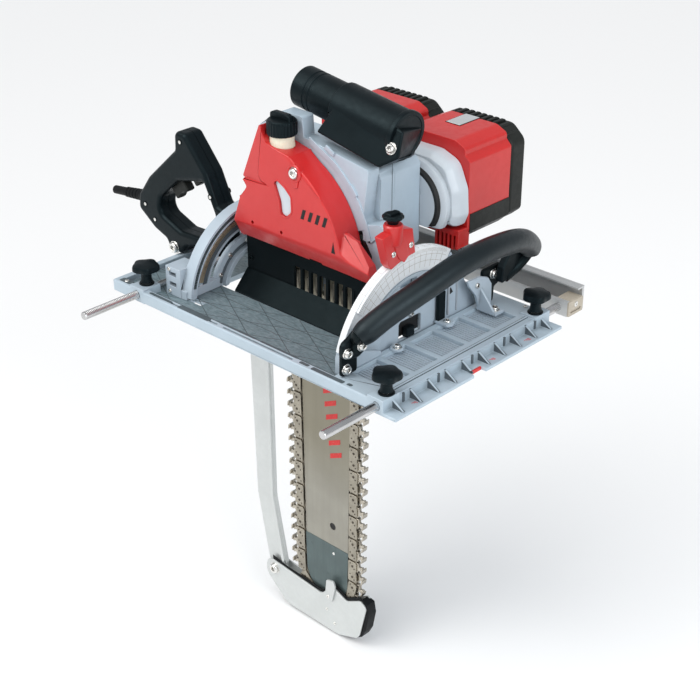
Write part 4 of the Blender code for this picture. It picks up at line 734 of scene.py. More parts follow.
def quadrants():
    refined("rear_quadrant", 0.7, "cast", "base", 2)
    refined("rear_scale_strip", 0.25, "brass", "base", 1)
    strokes = []
    for i in range(0, 68):
        long = 4.6 if i % 10 == 0 else 3.4 if i % 5 == 0 else 2.2
        strokes.append(((-0.16, 0, 0), (0.16, long, 0.12), ring_place(-259.75, i + 1, 82.3)))
    marks("rear_scale_marks", strokes, "ink_and_gap_shade", "base")
    for i, (radius, low, high) in enumerate(((99.5, -8, 82), (45.5, -6, 78))):
        outline = sector(radius - 3, radius + 3, low, high, 40)
        prism(f"rear_rim_groove_{i}", [outline], "YZ", -254.6 if i == 0 else -256.6, -253.6
              if i == 0 else -255.6, "cast", "base", 0.35)
    for i, (inner, outer, low, x, look) in enumerate(((97.5, 102.2, -8, -253.9, "groove"),
            (95.4, 97.0, -8, -253.7, "cast"), (88.6, 93.8, -6, -259.9, "groove"),
            (71.5, 74, 0, -261.2, "cast"), (74.5, 80.5, 0, -261.8, "shade"), (49, 53, -6, -261.6, "shade"))):
        prism(f"rear_ring_{i}", [sector(inner, outer, low, 77, 50)], "YZ", x - 0.4, x + 0.3, look, "base",
              0.12)
    for i, angle in enumerate((6, 38, 66)):
        place = ring_place(-262, angle, 54.5)
        screw(f"rear_arc_screw_{i}", place.translation / MM, AHEAD, 3.2, 2.2, "base")
    for i, z in enumerate((13, 41)):
        screw(f"rear_foot_screw_{i}", (-288, -106, z), NEAR, 2.6, 1.4, "base")

    refined("front_quadrant", 0.8, "cast", "base", 2)
    prism("front_arc_face", [sector(87.5, 117.35, -33.6, 73, 90)], "YZ", -12.6, -4.1, "white", "base", 0.8)
    prism("front_arc_scale", [sector(93, 116.5, -30, 50, 60)], "YZ", -4.1, -1.3, "white", "base", 0.5, 2,
          ("front_scale",))
    prism("front_arc_step", [sector(86.5, 89.5, -32, 72, 60)], "YZ", -4.9, -2.6, "cast", "base", 0.5)
    strokes = []
    for i in range(-28, 50):
        long = 21.0 if i % 5 == 0 else 4.0
        strokes.append(((-0.16, -long, 0), (0.16, 0, 0.10), ring_place(-1.3, i, 116)))
    marks("front_scale_marks", strokes, "fine_ink", "base")
    for i, radius in enumerate((102, 109)):
        prism(f"front_scale_ring_{i}", [sector(radius - 0.15, radius + 0.15, -29, 49, 70)], "YZ", -1.32,
              -1.2, "fine_ink", "base", 0.02, 1)
    rim_lines = [brick_mesh((-0.16, -0.2, -12), (0.16, 0.12, -4.4), 0.0, 1, ring_place(0, i, 117.35))
                 for i in range(-30, 52, 5)]
    finish_mesh("front_rim_marks", merge(rim_lines), "fine_ink", "base")
    for i, angle in enumerate((58, 66)):
        place = ring_place(-4.1, angle, 104)
        screw(f"front_arc_screw_{i}", place.translation / MM, AHEAD, 3.6, 2.4, "base")
    ribs = [brick_mesh((-4.5, 60, 18), (-1.5, 62.5, 90), 0.6),
            brick_mesh((-4.5, 76, 18), (-2.6, 78, 66), 0.5)]
    ribs += [brick_mesh((-6.2, -100 + 18 * k, 14), (-4.4, -98 + 18 * k, 44), 0.5) for k in range(3)]
    finish_mesh("beam_ribs", merge(ribs), "web", "base")
    # A flat near-black sheet where the beam has a hole: painted shade.
    prism("beam_hole", [[(64, 41), (71, 43), (67, 50), (61, 47)]], "YZ", -4.6, -4.15, "ink_and_gap_shade", "base", 0.1)
    # A near-black sheet in the web's recess: painted shade.
    brick("web_recess", (-11.5, -18.5, 15.5), (-10.2, 17.5, 36), "ink_and_gap_shade", "base", 0.3)
    brick("web_stop", (-9, -10, 15.4), (-1.5, 3, 27), "black", "base", 1.0)
    screw("web_screw", (-5.6, 0.6, 41), AHEAD, 3.6, 2.6, "base", washer=5)
    brick("centre_leg", (-3.9, 41, 15.5), (0.5, 53, 52), "black_paint", "base", 0.9)
    brick("centre_leg_foot", (-3.9, 39, 15.3), (14, 55, 18.2), "cast", "base", 0.7)
    screw("arc_top_bolt", (-13.4, 60, 92), (0.2, -0.4, 0.9), 4.6, 4.0, "base", washer=6)


# Handles ----------------------------------------------------------------------------
BAIL_LINE = ((16.5, -112, 48), (18, -111, 58), (25, -114, 72), (37, -85, 91), (51, -40, 109), (58, 5, 119),
             (59, 45, 121), (54, 95, 114), (46, 130, 102), (35, 158, 84), (25, 167, 67), (19, 156, 53),
             (16, 138, 45))


def bail_handle():
    whole = smooth_line(BAIL_LINE, 8)
    tube = sweep_mesh([whole[0], *whole, whole[-1]], [0, *[7.0] * len(whole), 0], 28)
    finish_mesh("bail_core", tube, "black_paint", "base", ("bail_tube",))
    grip = smooth_line(((25, -117, 66), (37, -87, 86), (51, -42, 106), *BAIL_LINE[5:10], (31, 162, 77)), 14)
    count = len(grip)
    radii = []
    for i in range(count):
        end = min(i, count - 1 - i)
        radii.append(13.4 - (3.0 * (1 - end / 5) ** 2 if end < 5 else 0))
    finish_mesh("bail_soft_grip", sweep_mesh([grip[0], *grip, grip[-1]], [0, *radii, 0], 48), "grip", "base",
                ("bail_grip",), 60)
    clevis = prism_mesh([rounded([(-131, 43, 8), (-130, 58, 8), (-118, 62.5, 6), (-106, 70, 5), (-90, 55, 8),
            (-94, 41, 6), (-106, 36, 8), (-120, 38, 6)], 8)], "YZ", 8.9, 15.5, 1.6, 3)
    finish_mesh("bail_fork", clevis, "black", "base", (), 40)
    gusset = prism_mesh([rounded([(126, 41, 3), (129, 60, 6), (146, 84, 5), (166, 82, 5), (163, 62, 5),
            (150, 46, 5)], 6)], "YZ", 12, 22, 1.6, 3)
    finish_mesh("bail_gusset", gusset, "black", "base", (), 40)
    refined("near_handle_strap", 0.7, "black_paint", "base", 2)
    refined("far_handle_strap", 0.7, "black_paint", "base", 2)
    refined("far_handle_foot", 0.7, "cast", "base", 2)
    for node, place in (("strap_bolt_low", (9.2, -118.5, 23.6)), ("strap_bolt_high", (15.8, -124, 47)),
                        ("far_strap_bolt", (9.2, 127, 50.5))):
        bolt = screw(node + "_head", place, AHEAD, 5.0, 4.0, "base", washer=6.2)
        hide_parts(node)
    screw("fork_bolt", (23.4, -110.5, 54), AHEAD, 5.0, 4.0, "base", washer=6.2)
    screw("foot_screw_high", (13.2, 92, 49), AHEAD, 3.4, 2.4, "base")
    screw("foot_screw_toe", (29, 106, 19.2), UP, 4.6, 3.6, "base", washer=6)


def back_handle():
    outer = rounded([(-333, 176.5, 8.2), (-352, 177, 8.2), (-353, 152, 9), (-406, 104, 20), (-427, 76, 8.2),
                     (-428.5, 57, 8.2), (-400, 37, 14), (-378, 29, 8.5), (-372, 16.8, 8.2),
                     (-353, 16.4, 8.2), (-340, 30, 12), (-306, 36, 10), (-270.6, 34, 1), (-270.6, 97, 1),
                     (-281, 100, 4), (-298, 136, 30)], 8)
    hole = rounded([(-304, 124, 5), (-285, 86, 12), (-294, 50, 13), (-350, 47, 16), (-390, 62, 13),
                    (-384, 84, 12), (-352, 112, 8)], 8)
    body = prism_mesh([outer, hole], "XZ", -35, -5, 5.5, 5)
    slit = prism_mesh([[(-440, 10), (-260, 10), (-260, 185), (-440, 185)]], "XZ", -20.35, -19.65)
    core = prism_mesh([shrink(outer, 1.0), shrink(hole, -1.0)], "XZ", -21, -19)
    seam = boolean(slit, [core])
    body = boolean(body, [seam, brick_mesh((-15.2, -6.6, -9.5), (15.2, 6.6, 18), 0, 1, trigger_place(5)),
                          brick_mesh((-6.9, -6.4, -8.5), (6.9, 6.4, 12), 0, 1, lock_place(5))])
    finish_mesh("rear_handle", body, "black", "base", ("handle_shell_near", "handle_shell_far"), 40)
    keep_node("switch_block", "black")
    lever = boolean(brick_mesh((-14.2, -6.2, -8.5), (14.2, 6.2, 8.5), 2.4, 3),
                    [prism_mesh([circle((0, -19), 14, 48)], "XZ", -10, 10)])
    lever.transform(trigger_place(0))
    finish_mesh("trigger_lever", lever, "cap", "trigger", ("trigger",), 40)
    button = brick_mesh((-6.2, -5.9, -7), (6.2, 5.9, 7), 2.0, 3, lock_place(0))
    finish_mesh("lock_push", button, "cap", "lock_button", ("lock_button",), 40)
    for name, side in (("near", -35.2), ("far", -4.8)):
        for i, (x, z) in enumerate(((-341, 165), (-414, 66), (-284, 42), (-291, 109), (-397, 50))):
            direction = (0, -1 if name == "near" else 1, 0)
            lathe(f"handle_screw_pit_{name}_{i}", [(0, -0.6), (3.6, -0.6), (3.6, 0.25), (3.0, 0.35),
                    (2.6, -0.2), (0, -0.3)], (x, side, z), direction, "black_paint", "base", 28)
            screw(f"handle_screw_{name}_{i}", (x, side, z), direction, 2.2, 0.3, "base")
    bolt = screw("handle_bolt_head", (-362, -35.3, 23), NEAR, 6.8, 4.1, "base", washer=8.2)
    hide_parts("handle_bolt")
    hexagon_nut("handle_bolt_nut", (-362, -4.6, 23), FAR, 6.4, 4.0, "base")
    relief_start, relief_way = Vector((-430.5, -20, 68)), Vector((-60, 0, -8))
    profile = [(3.6, 61), (5.4, 61), (5.6, 38)]
    for ring in range(5):
        height = 36 - ring * 6.4
        r = 6.6 + 0.2 * ring
        profile += [(r - 0.9, height + 1), (r, height), (r, height - 3), (r - 0.9, height - 3.8)]
    profile += [(7.6, 6), (8.5, 4), (8.5, 1.4), (3.6, 1.4)]
    lathe("cable_bend_relief", profile[::-1], relief_start, relief_way, "rubber", "base", 36,
          ("strain_relief",))
    lathe("relief_plug", [(0, 0), (3.4, 0), (3.4, 57), (0, 57)],
          relief_start + relief_way.normalized() * 1.6, relief_way, "rubber", "base", 24)


def shrink(outline, distance):
    """The outline moved inwards by a distance."""
    side = 1 if signed_area(outline) > 0 else -1
    result = []
    for i, point in enumerate(outline):
        here = Vector(point)
        back = (here - Vector(outline[i - 1])).normalized()
        ahead = (Vector(outline[(i + 1) % len(outline)]) - here).normalized()
        normal = Vector((-(back + ahead).y, (back + ahead).x)).normalized() * side
        lean = max(0.5, normal.dot(Vector((-ahead.y, ahead.x)) * side))
        result.append(tuple(here + normal * distance / lean))
    return result


TRIGGER_ANGLE = radians(38)
PRESS = Vector((-sin(TRIGGER_ANGLE), 0, cos(TRIGGER_ANGLE)))


def press_place(place, lift):
    """Matrix of a button at a place, lifted along the way it is pressed."""
    return Matrix.Translation((Vector(place) + PRESS * lift) * MM) @ Matrix.Rotation(-TRIGGER_ANGLE, 4, "Y")


def trigger_place(lift):
    return press_place((-357, -20, 99), lift)


def lock_place(lift):
    return press_place((-326, -20, 119), lift)


# Saw unit ----------------------------------------------------------------------------
def gearbox():
    refined("gear_housing", 0.9, "housing", SAW, 2)
    refined("gearbox_rear", 1.4, "housing", SAW, 3)
    lip = [(-152, 205), *arc(COVER_ARC_CENTRE, 131, 56, 14, 24), (-48, 120), (-44, 126),
           *arc(COVER_ARC_CENTRE, 137, 14, 56, 24), (-150, 212)]
    prism("flange_lip", [lip], "XZ", -9.4, -7.6, "housing", SAW, 0.5)
    filler = [*arc(COVER_ARC_CENTRE, 119.5, 20, 50, 20), *arc(COVER_ARC_CENTRE, 132, 50, 20, 20)]
    prism("flange_filler", [filler], "XZ", -8.8, -7.8, "housing", SAW, 0.2)
    for i, (x, z, turn) in enumerate(((-119, 204, 28), (-84, 166, 50))):
        matrix = Matrix.Translation(Vector((x, -8, z)) * MM) @ Matrix.Rotation(radians(turn), 4, "Y")
        brick(f"flange_stop_{i}", (-7, -2.2, -2.6), (7, 0.5, 2.6), "housing", SAW, 0.7, 2, matrix)
    for i, (x, z) in enumerate(((-243, 100), (-176, 226), (-24, 118), (-24, 76), (-66, 40), (-220, 40))):
        screw(f"flange_screw_{i}", (x, -8.1, z), NEAR, 3.6, 2.0, SAW)
    # A near-black sheet in the flange window: painted shade.
    prism("flange_window", [rounded([(-71, 112, 1), (-66, 112, 1), (-56.5, 97, 1), (-56.5, 91, 1),
            (-60, 91, 1), (-71, 106, 1)])], "XZ", -8.6, -7.9, "ink_and_gap_shade", SAW, 0.2)
    brick("case_joint_upper", (-60.1, 27.4, 100), (-59.6, 28.0, 203), "groove", SAW, 0.1)
    for i, (y, z) in enumerate(((14, 96), (52, 70))):
        lathe(f"case_boss_{i}", [(0, -2), (6.2, -2), (6.2, 1.2), (5.4, 2.0), (0, 2.0)], (-60, y, z), AHEAD,
              "housing", SAW, 32)
        screw(f"case_screw_{i}", (-58, y, z), AHEAD, 3.6, 2.2, SAW)


def motor_outline(x):
    half, low, high = 56.0, 86.0, 203.0
    return rounded([(x - half, low + 12, 6), (x - half, high - 21, 5), (x - half + 7, high - 14, 2),
                    (x - half + 7, high - 7, 5), (x - half + 22, high, 12), (x + half - 22, high, 12),
                    (x + half - 7, high - 7, 5), (x + half - 7, high - 14, 2), (x + half, high - 21, 5),
                    (x + half, low + 12, 6), (x + half - 14, low, 8), (x - half + 14, low, 8)], 4)


def motor(name, x):
    half = [(52, 107, 5), (58, 122, 12), (56, 152, 24), (43, 181, 20), (18, 190, 24)]
    outline = rounded([(x + a, z, r) for a, z, r in half] + [(x - a, z, r) for a, z, r in reversed(half)], 8)
    hood = lofted([(shrink(outline, 9), 89.5), (shrink(outline, 6.5), 90), (shrink(outline, 2.2), 94.5),
                   (shrink(outline, 0.6), 99.5), (outline, 106), (outline, 111.2),
                   (shrink(outline, 0.8), 112)])
    profile = [(0, 75.3), (37, 75.3), (38, 76), (38, 79.4), (42, 80), (47.5, 82), (49, 84), (49, 90.5),
               (0, 90.5)]
    rings = boolean(lathe_mesh(profile, (x, 0, BELL_Z), FAR, 96),
                    [brick_mesh((x - 70, 60, 40), (x + 70, 100, 107), 0)])
    finish_mesh(f"bell_{name}", merge([hood, rings]), "bell", SAW, (f"motor_bell_{name}",), 34)
    # A near-black ring in the slot between gearbox and bell: painted shade.
    slot = lathe_mesh([(37.5, 75.4), (41.0, 75.4), (42.5, 80.2), (37.5, 80.2)], (x, 0, BELL_Z), FAR, 96)
    slot = boolean(slot, [brick_mesh((x - 70, 60, 40), (x + 70, 100, 110), 0)])
    finish_mesh(f"bell_slot_{name}", slot, "ink_and_gap_shade", SAW)
    prism(f"casing_wall_{name}", [shrink(motor_outline(x), 3.0), circle((x, MOTOR_Z), 30, 40)], "XZ", 112.3,
          117.3, "red_plastic", SAW, 0.3)
    casing = prism_mesh([motor_outline(x), shrink(motor_outline(x), 4.0)], "XZ", 112.3, 188, 0.8, 3)
    finish_mesh(f"casing_{name}", casing, "red_plastic", SAW, (f"motor_casing_{name}",), 38)
    band = [(x - 56.7, 119), (x - 56.7, 97.6), (x - 43, 85.3), (x + 43, 85.3), (x + 56.7, 97.6),
            (x + 56.7, 119), (x + 54, 119), (x + 54, 99), (x + 42, 88.5), (x - 42, 88.5), (x - 54, 99),
            (x - 54, 119)]
    prism(f"casing_band_{name}", [band], "XZ", 116, 188.2, "cap", SAW, 0.5)
    foot = boolean(prism_mesh([rounded([(x + 20, 72, 2), (x + 55, 80, 3), (x + 55.6, 104, 2),
            (x + 20, 100, 2)])], "XZ", 98, 118, 1.2, 3), [brick_mesh((x + 24 + 6 * k, 90, 78),
            (x + 27 + 6 * k, 112, 96), 0) for k in range(5)])
    finish_mesh(f"casing_foot_{name}", foot, "red_plastic", SAW, (), 38)
    if name == "front":
        matrix = Matrix.Translation(Vector((x - 3, 171, 203.0)) * MM)
        brick("blank_label_rim", (-11, -19, -0.5), (11, 19, 0.5), "cap", SAW, 0.2, 1, matrix)
        brick("blank_label", (-10, -18, 0), (10, 18, 0.75), "silver_label", SAW, 0.15, 1, matrix)
    dark = [brick_mesh((x - 24 + 9 * k, 108, 92), (x - 20 + 9 * k, 113.5, 106), 0.3) for k in range(6)]
    finish_mesh(f"casing_vents_{name}", merge(dark), "cap", SAW)
    cap_outline = rounded([(x - 56, 98, 8), (x - 56, 184, 14), (x - 38, 199.5, 14), (x + 38, 199.5, 14),
                           (x + 56, 184, 14), (x + 56, 98, 8), (x + 42, 86, 8), (x - 42, 86, 8)], 8)
    cap = prism_mesh([cap_outline], "XZ", 188.3, 216, 5.0, 5)
    slots = [prism_mesh([rounded([(x - 30, 110 + 9 * k, 1.4), (x + 30, 110 + 9 * k, 1.4),
            (x + 30, 114 + 9 * k, 1.4), (x - 30, 114 + 9 * k, 1.4)])], "XZ", 214.4, 220) for k in range(7)]
    finish_mesh(f"cap_{name}", boolean(cap, slots), "cap", SAW, (f"motor_cap_{name}",), 38)
    fins = []
    for k in range(11):
        place = x - 45 + 9.0 * k
        drop = max(0.0, abs(place - x) - 34) * 0.85
        fin = rounded([(189.4, 184, 1), (189.4, 203 - drop, 2.2), (209, 202.5 - drop, 5),
                       (215.7, 194 - drop, 6), (215.7, 170, 2), (206, 170, 1)], 4)
        fins.append(prism_mesh([fin], "YZ", place - 2.4, place + 2.4, 1.0, 2))
    finish_mesh(f"cap_fins_{name}", merge(fins), "cap", SAW, (), 38)
    for k in (-1, 1):
        screw(f"cap_screw_{name}_{k + 1}", (x + 46 * k, 216, 104), FAR, 3.4, 0.4, SAW)
    lathe(f"rotor_{name}", [(0, 80), (8, 80), (8, 115), (28, 116), (28, 121), (8, 122), (8, 126), (24, 128),
                            (24, 178), (5, 180), (5, 198), (0, 198)], (x, 0, MOTOR_Z), FAR, "core",
          f"armature_{name}", 36)
    pinion_teeth = 12

    def pinion(radius, height, angle):
        return radius - (1.6 if radius > 7.9 and (angle * pinion_teeth / (2 * pi)) % 1 > 0.5 else 0)

    lathe(f"pinion_{name}", [(0, 13.5), (8.5, 13.5), (8.5, 29), (6, 29), (6, 80), (0, 80)], (x, 0, MOTOR_Z),
          FAR, "rod", f"armature_{name}", 96, (f"armature_{name}",), pinion)


def drive():
    gear_teeth = 64

    def gear(radius, height, angle):
        return radius - (1.4 if radius > 55 and (angle * gear_teeth / (2 * pi)) % 1 > 0.5 else 0)

    lathe("gear_wheel", [(9.4, 15), (56.4, 15), (56.4, 27), (50, 27), (47, 24), (20, 24), (17, 27),
                         (9.4, 27)], DRIVE, FAR, "bar", "drive_spindle", 256, ("drive_gear",), gear, 25)
    lathe("spindle", [(0, -7), (8.6, -7), (9, -6), (9, 30), (10, 31), (10, 63), (9, 64), (0, 64)], DRIVE,
          FAR, "rod", "drive_spindle", 40, ("drive_shaft",))
    refined("drive_sprocket", 0.4, "bar", "drive_spindle", 1)
    nose_teeth = 11

    def nose(radius, height, angle):
        return radius - (3.0 if radius > 25 and abs((angle * nose_teeth / (2 * pi)) % 1 - 0.5) > 0.3 else 0)

    lathe("nose_star", [(6.4, -1.2), (26, -1.2), (26, 1.2), (6.4, 1.2)], NOSE, FAR, "bar", "nose_wheel", 132,
          ("nose_sprocket",), nose, 25)


def guide_bar():
    refined("guide_bar", 0.5, "bar", SAW, 2, name="guide_bar_blade")
    for side, y in (("near", -2.5), ("far", 2.5)):
        out = -1 if side == "near" else 1
        low, high = sorted((y, y + out * 0.35))
        plate = [(-172.2, -328), (-97.8, -328), *arc((BAR_X, NOSE_Z), 36.2, -12, -168, 24)]
        prism(f"nose_plate_{side}", [plate], "XZ", low, high, "nose", SAW, 0.12, 1)
        for i, (x, z) in enumerate(((-123, -340), (-163, -342), (-135, -376))):
            lathe(f"nose_rivet_{side}_{i}", [(0, 0), (2.0, 0), (1.8, 0.3), (0, 0.4)], (x, y + out * 0.3, z),
                  (0, out, 0), "zinc" if i == 0 else "nose", SAW, 20)
        low, high = sorted((y + out * 0.05, y + out * 0.3))
        for i in range(7):
            z = -88 - 17.5 * i
            left = -141 + 2.2 * i
            stripe = [(left, z - 6), (left + 19, z + 3), (left + 19, z + 10), (left, z + 1)]
            prism(f"bar_stripe_{side}_{i}", [stripe], "XZ", low, high, "red_ink", SAW, 0.05, 1)
    # A near-black disc filling the hole through the bar: painted shade.
    lathe("bar_hole_shade", [(0, -1.6), (4.9, -1.6), (4.9, 1.6), (0, 1.6)], (-124.6, 0, -299), FAR, "ink_and_gap_shade",
          SAW, 32)


def chain_path(offset):
    nose = arc((BAR_X, NOSE_Z), 37 + offset, 183, 357, 48)
    top = arc((BAR_X, DRIVE_Z), 30 + offset, -8, 188, 40)
    half = 40 + offset
    points = [(BAR_X - half, 40), (BAR_X - half, -120), *nose, (BAR_X + half, -120), (BAR_X + half, 40),
              *top]
    return [Vector(p) for p in points]


def chain():
    """Roller-less saw chain: paired side plates, drive links, rivets and hooked cutters."""
    path = chain_path(8.0)
    lengths = [0.0]
    for a, b in zip(path, path[1:] + path[:1]):
        lengths.append(lengths[-1] + (b - a).length)
    total = lengths[-1]
    blocks = round(total / 33.2)
    pitch = total / blocks / 2

    def at(s):
        s %= total
        i = max(k for k in range(len(path)) if lengths[k] <= s + 1e-9)
        a, b = path[i], path[(i + 1) % len(path)]
        return a + (b - a) * ((s - lengths[i]) / max(1e-9, lengths[i + 1] - lengths[i]))

    start = 6.0
    pins = [at(start + k * pitch) for k in range(2 * blocks)]
    steel, teeth, pins_mesh = bmesh.new(), bmesh.new(), bmesh.new()

    def slab(work, outline, low, high, centre, along, out):
        rings = []
        for y in (low, high):
            rings.append([work.verts.new(Vector(((centre + along * s + out * h).x, y,
                    (centre + along * s + out * h).y)) * MM) for s, h in outline])
        count = len(outline)
        work.faces.new(rings[0])
        work.faces.new(rings[1][::-1])
        for i in range(count):
            j = (i + 1) % count
            work.faces.new((rings[0][i], rings[1][i], rings[1][j], rings[0][j]))

    plate = [(-15.4, -5.5), (-13.8, -6.8), (13.8, -6.8), (15.4, -5.5), (15.4, 5.2), (13.9, 6.9), (3, 6.9),
             (1.4, 5.8), (-1.4, 5.8), (-3, 6.9), (-13.9, 6.9), (-15.4, 5.2)]
    inner = [(-11.5, -4.5), (-9, -6.3), (9, -6.3), (11.5, -4.5), (11.5, 4), (9, 5.8), (-9, 5.8), (-11.5, 4)]
    drive_link = [(-6, -7.4), (6, -7.4), (7.5, 0), (7, 5), (-7, 5), (-7.5, 0)]
    cutter = [(-6.8, 4), (7.0, 4), (7.2, 8.8), (5.0, 10.2), (3.0, 10.0), (2.0, 11.6), (3.6, 15.0),
              (1.5, 17.3), (-3.4, 16.8), (-5.6, 14.6), (-5.0, 13.4), (-2.6, 13.2), (-2.4, 10.6), (-4.6, 8.6),
              (-6.8, 8.0)]
    hexes = [(cos(2 * pi * k / 12), sin(2 * pi * k / 12)) for k in range(12)]
    for i in range(blocks):
        a, b = pins[2 * i], pins[2 * i + 1]
        c = pins[(2 * i + 2) % len(pins)]
        for first, second, kind in ((a, b, "outer"), (b, c, "inner")):
            centre = (first + second) / 2
            along = (second - first).normalized()
            out = Vector((along.y, -along.x))
            if out.dot(centre - Vector((BAR_X, max(NOSE_Z, min(DRIVE_Z, centre.y))))) < 0:
                out = -out
            if kind == "outer":
                slab(steel, plate, -4.3, -2.7, centre, along, out)
                slab(steel, plate, 2.7, 4.3, centre, along, out)
                for k, s in enumerate((-8.3, 8.3)):
                    side = 1 if (i + k) % 2 else -1
                    slab(teeth, [(p + s, q) for p, q in cutter], -1.9 + 0.9 * side, 1.9 + 0.9 * side, centre,
                         along, out)
                    slab(teeth, [(p + s, q) for p, q in [(-5.4, 14.4), (1.6, 16.0), (1.4, 17.5),
                            (-3.6, 17.0), (-5.8, 15.6)]], -4.3, 4.3, centre, along, out)
                    for y0, y1 in ((-4.6, -4.2), (4.2, 4.6)):
                        for dx, dy, r in ((0, 0.5, 1.7), (3.6, -3.2, 0.9), (-3.2, 3.6, 0.9)):
                            slab(pins_mesh, [(s + dx + r * p, dy + r * q) for p, q in hexes], y0, y1, centre,
                                 along, out)
            else:
                slab(steel, inner, -2.5, -1.3, centre, along, out)
                slab(steel, inner, 1.3, 2.5, centre, along, out)
            slab(steel, drive_link, -1.2, 1.2, centre, along, out)
    for work in (steel, teeth):
        bmesh.ops.recalc_face_normals(work, faces=work.faces)
        bmesh.ops.bevel(work, geom=[e for e in work.edges if e.calc_face_angle(0) > radians(50)],
                        offset=0.22 * MM, segments=1, affect="EDGES", clamp_overlap=True)
    bmesh.ops.recalc_face_normals(pins_mesh, faces=pins_mesh.faces)
    finish_mesh("chain_rivets", pins_mesh, "pin", SAW, (), 30, False)
    finish_mesh("chain_links", steel, "chain", SAW, ("saw_chain",), 30, False)
    finish_mesh("chain_cutters", teeth, "tooth", SAW, (), 30, False)


def guard():
    refined("guard_arm", 0.6, "guard", SAW, 2)
    flange = rounded([(-237, 50, 1), (-237, -106, 8), (-235.5, -300, 20), (-216, -398, 6), (-211, -398, 4),
                      (-229.5, -300, 20), (-231.5, -106, 8), (-231.5, 50, 1)], 8)
    prism("guard_arm_flange", [flange], "XZ", -5.6, -2.3, "guard", SAW, 0.5)
    for i, z in enumerate((40, 26)):
        screw(f"arm_screw_{i}", (-245, -2.6, z), NEAR, 3.8, 2.2, SAW)
    shape = rounded([(-242, -398, 12), (-242, -424, 14), (-205, -457, 18), (-110, -459, 16), (-74, -446, 16),
                     (-61.3, -392, 8), (-72, -385, 6), (-96, -398, 8), (-120, -387, 8), (-140, -408, 12)],
                    10)
    for name, low, high in (("near", -8.6, -6.4), ("far", 6.4, 8.6)):
        prism(f"guard_plate_{name}", [shape, circle(GUARD_PIVOT, 4.2, 32)], "XZ", low, high, "guard",
              "tip_guard", 0.6, 3, (f"tip_guard_{name}",))
    top = [(-232, -394), (-206, -399), (-140, -403.5), (-122, -386), (-113, -385), (-97, -394),
           (-74, -381.5), (-62, -388)]
    lower = [(x + 0.5, z - 9.0) for x, z in reversed(top)]
    prism("guard_lip", [top + lower], "XZ", -6.3, -5.3, "rubber", "tip_guard", 0.4)
    right = [(-73, -386), (-62.5, -389), (-59.6, -404), (-64.5, -430), (-71, -443), (-84, -452), (-96, -455),
             (-96, -450), (-82, -445), (-73, -435), (-66, -406)]
    prism("guard_end_rubber", [right], "XZ", -6.2, 9.0, "rubber", "tip_guard", 0.8, 3, ("guard_liner",))
    latch = rounded([(-128, -378, 4), (-116, -375.6, 3), (-112.5, -384, 3), (-119, -411, 4),
                     (-131, -410, 4)], 6)
    prism("guard_catch", [latch], "XZ", -12, -8.9, "guard", "tip_guard", 0.8, 3, ("guard_latch",))
    screw("catch_screw", (-124.5, -12, -403), NEAR, 2.6, 1.0, "tip_guard")
    screw("catch_rivet", (-130, -8.8, -428), NEAR, 2.2, 0.8, "tip_guard")
    screw("catch_rivet_low", (-116, -8.8, -444), NEAR, 2.2, 0.8, "tip_guard")
    bolt = screw("guard_pivot_bolt", (GUARD_PIVOT[0], -8.9, GUARD_PIVOT[1]), NEAR, 6.8, 4.4, "tip_guard",
                 washer=8.2)
    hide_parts("guard_bolt")
    lathe("guard_pivot_pin", [(0, -8.9), (3.9, -8.9), (3.9, 13), (0, 13)],
          (GUARD_PIVOT[0], 0, GUARD_PIVOT[1]), FAR, "zinc", "tip_guard", 24)
    hexagon_nut("guard_pivot_nut", (GUARD_PIVOT[0], 8.7, GUARD_PIVOT[1]), FAR, 6.2, 3.6, "tip_guard")


def depth_cutter(outline, depth):
    """Solid that cuts away the front of the cover, down to depth(x, z), over an outline."""
    work = bmesh.new()
    near = [work.verts.new(Vector((x, -80, z)) * MM) for x, z in outline]
    far = [work.verts.new(Vector((x, depth(x, z), z)) * MM) for x, z in outline]
    work.faces.new(near)
    work.faces.new(far[::-1])
    for i in range(len(outline)):
        j = (i + 1) % len(outline)
        work.faces.new((near[i], far[i], far[j], near[j]))
    bmesh.ops.recalc_face_normals(work, faces=work.faces)
    return work


SIGHT_WINDOW = [(-172, 163, 2.5), (-166, 166, 3), (-155, 160, 5), (-146, 152, 6), (-145.5, 134, 6),
                (-155, 125, 6), (-162, 128, 5), (-163.5, 142, 8)]


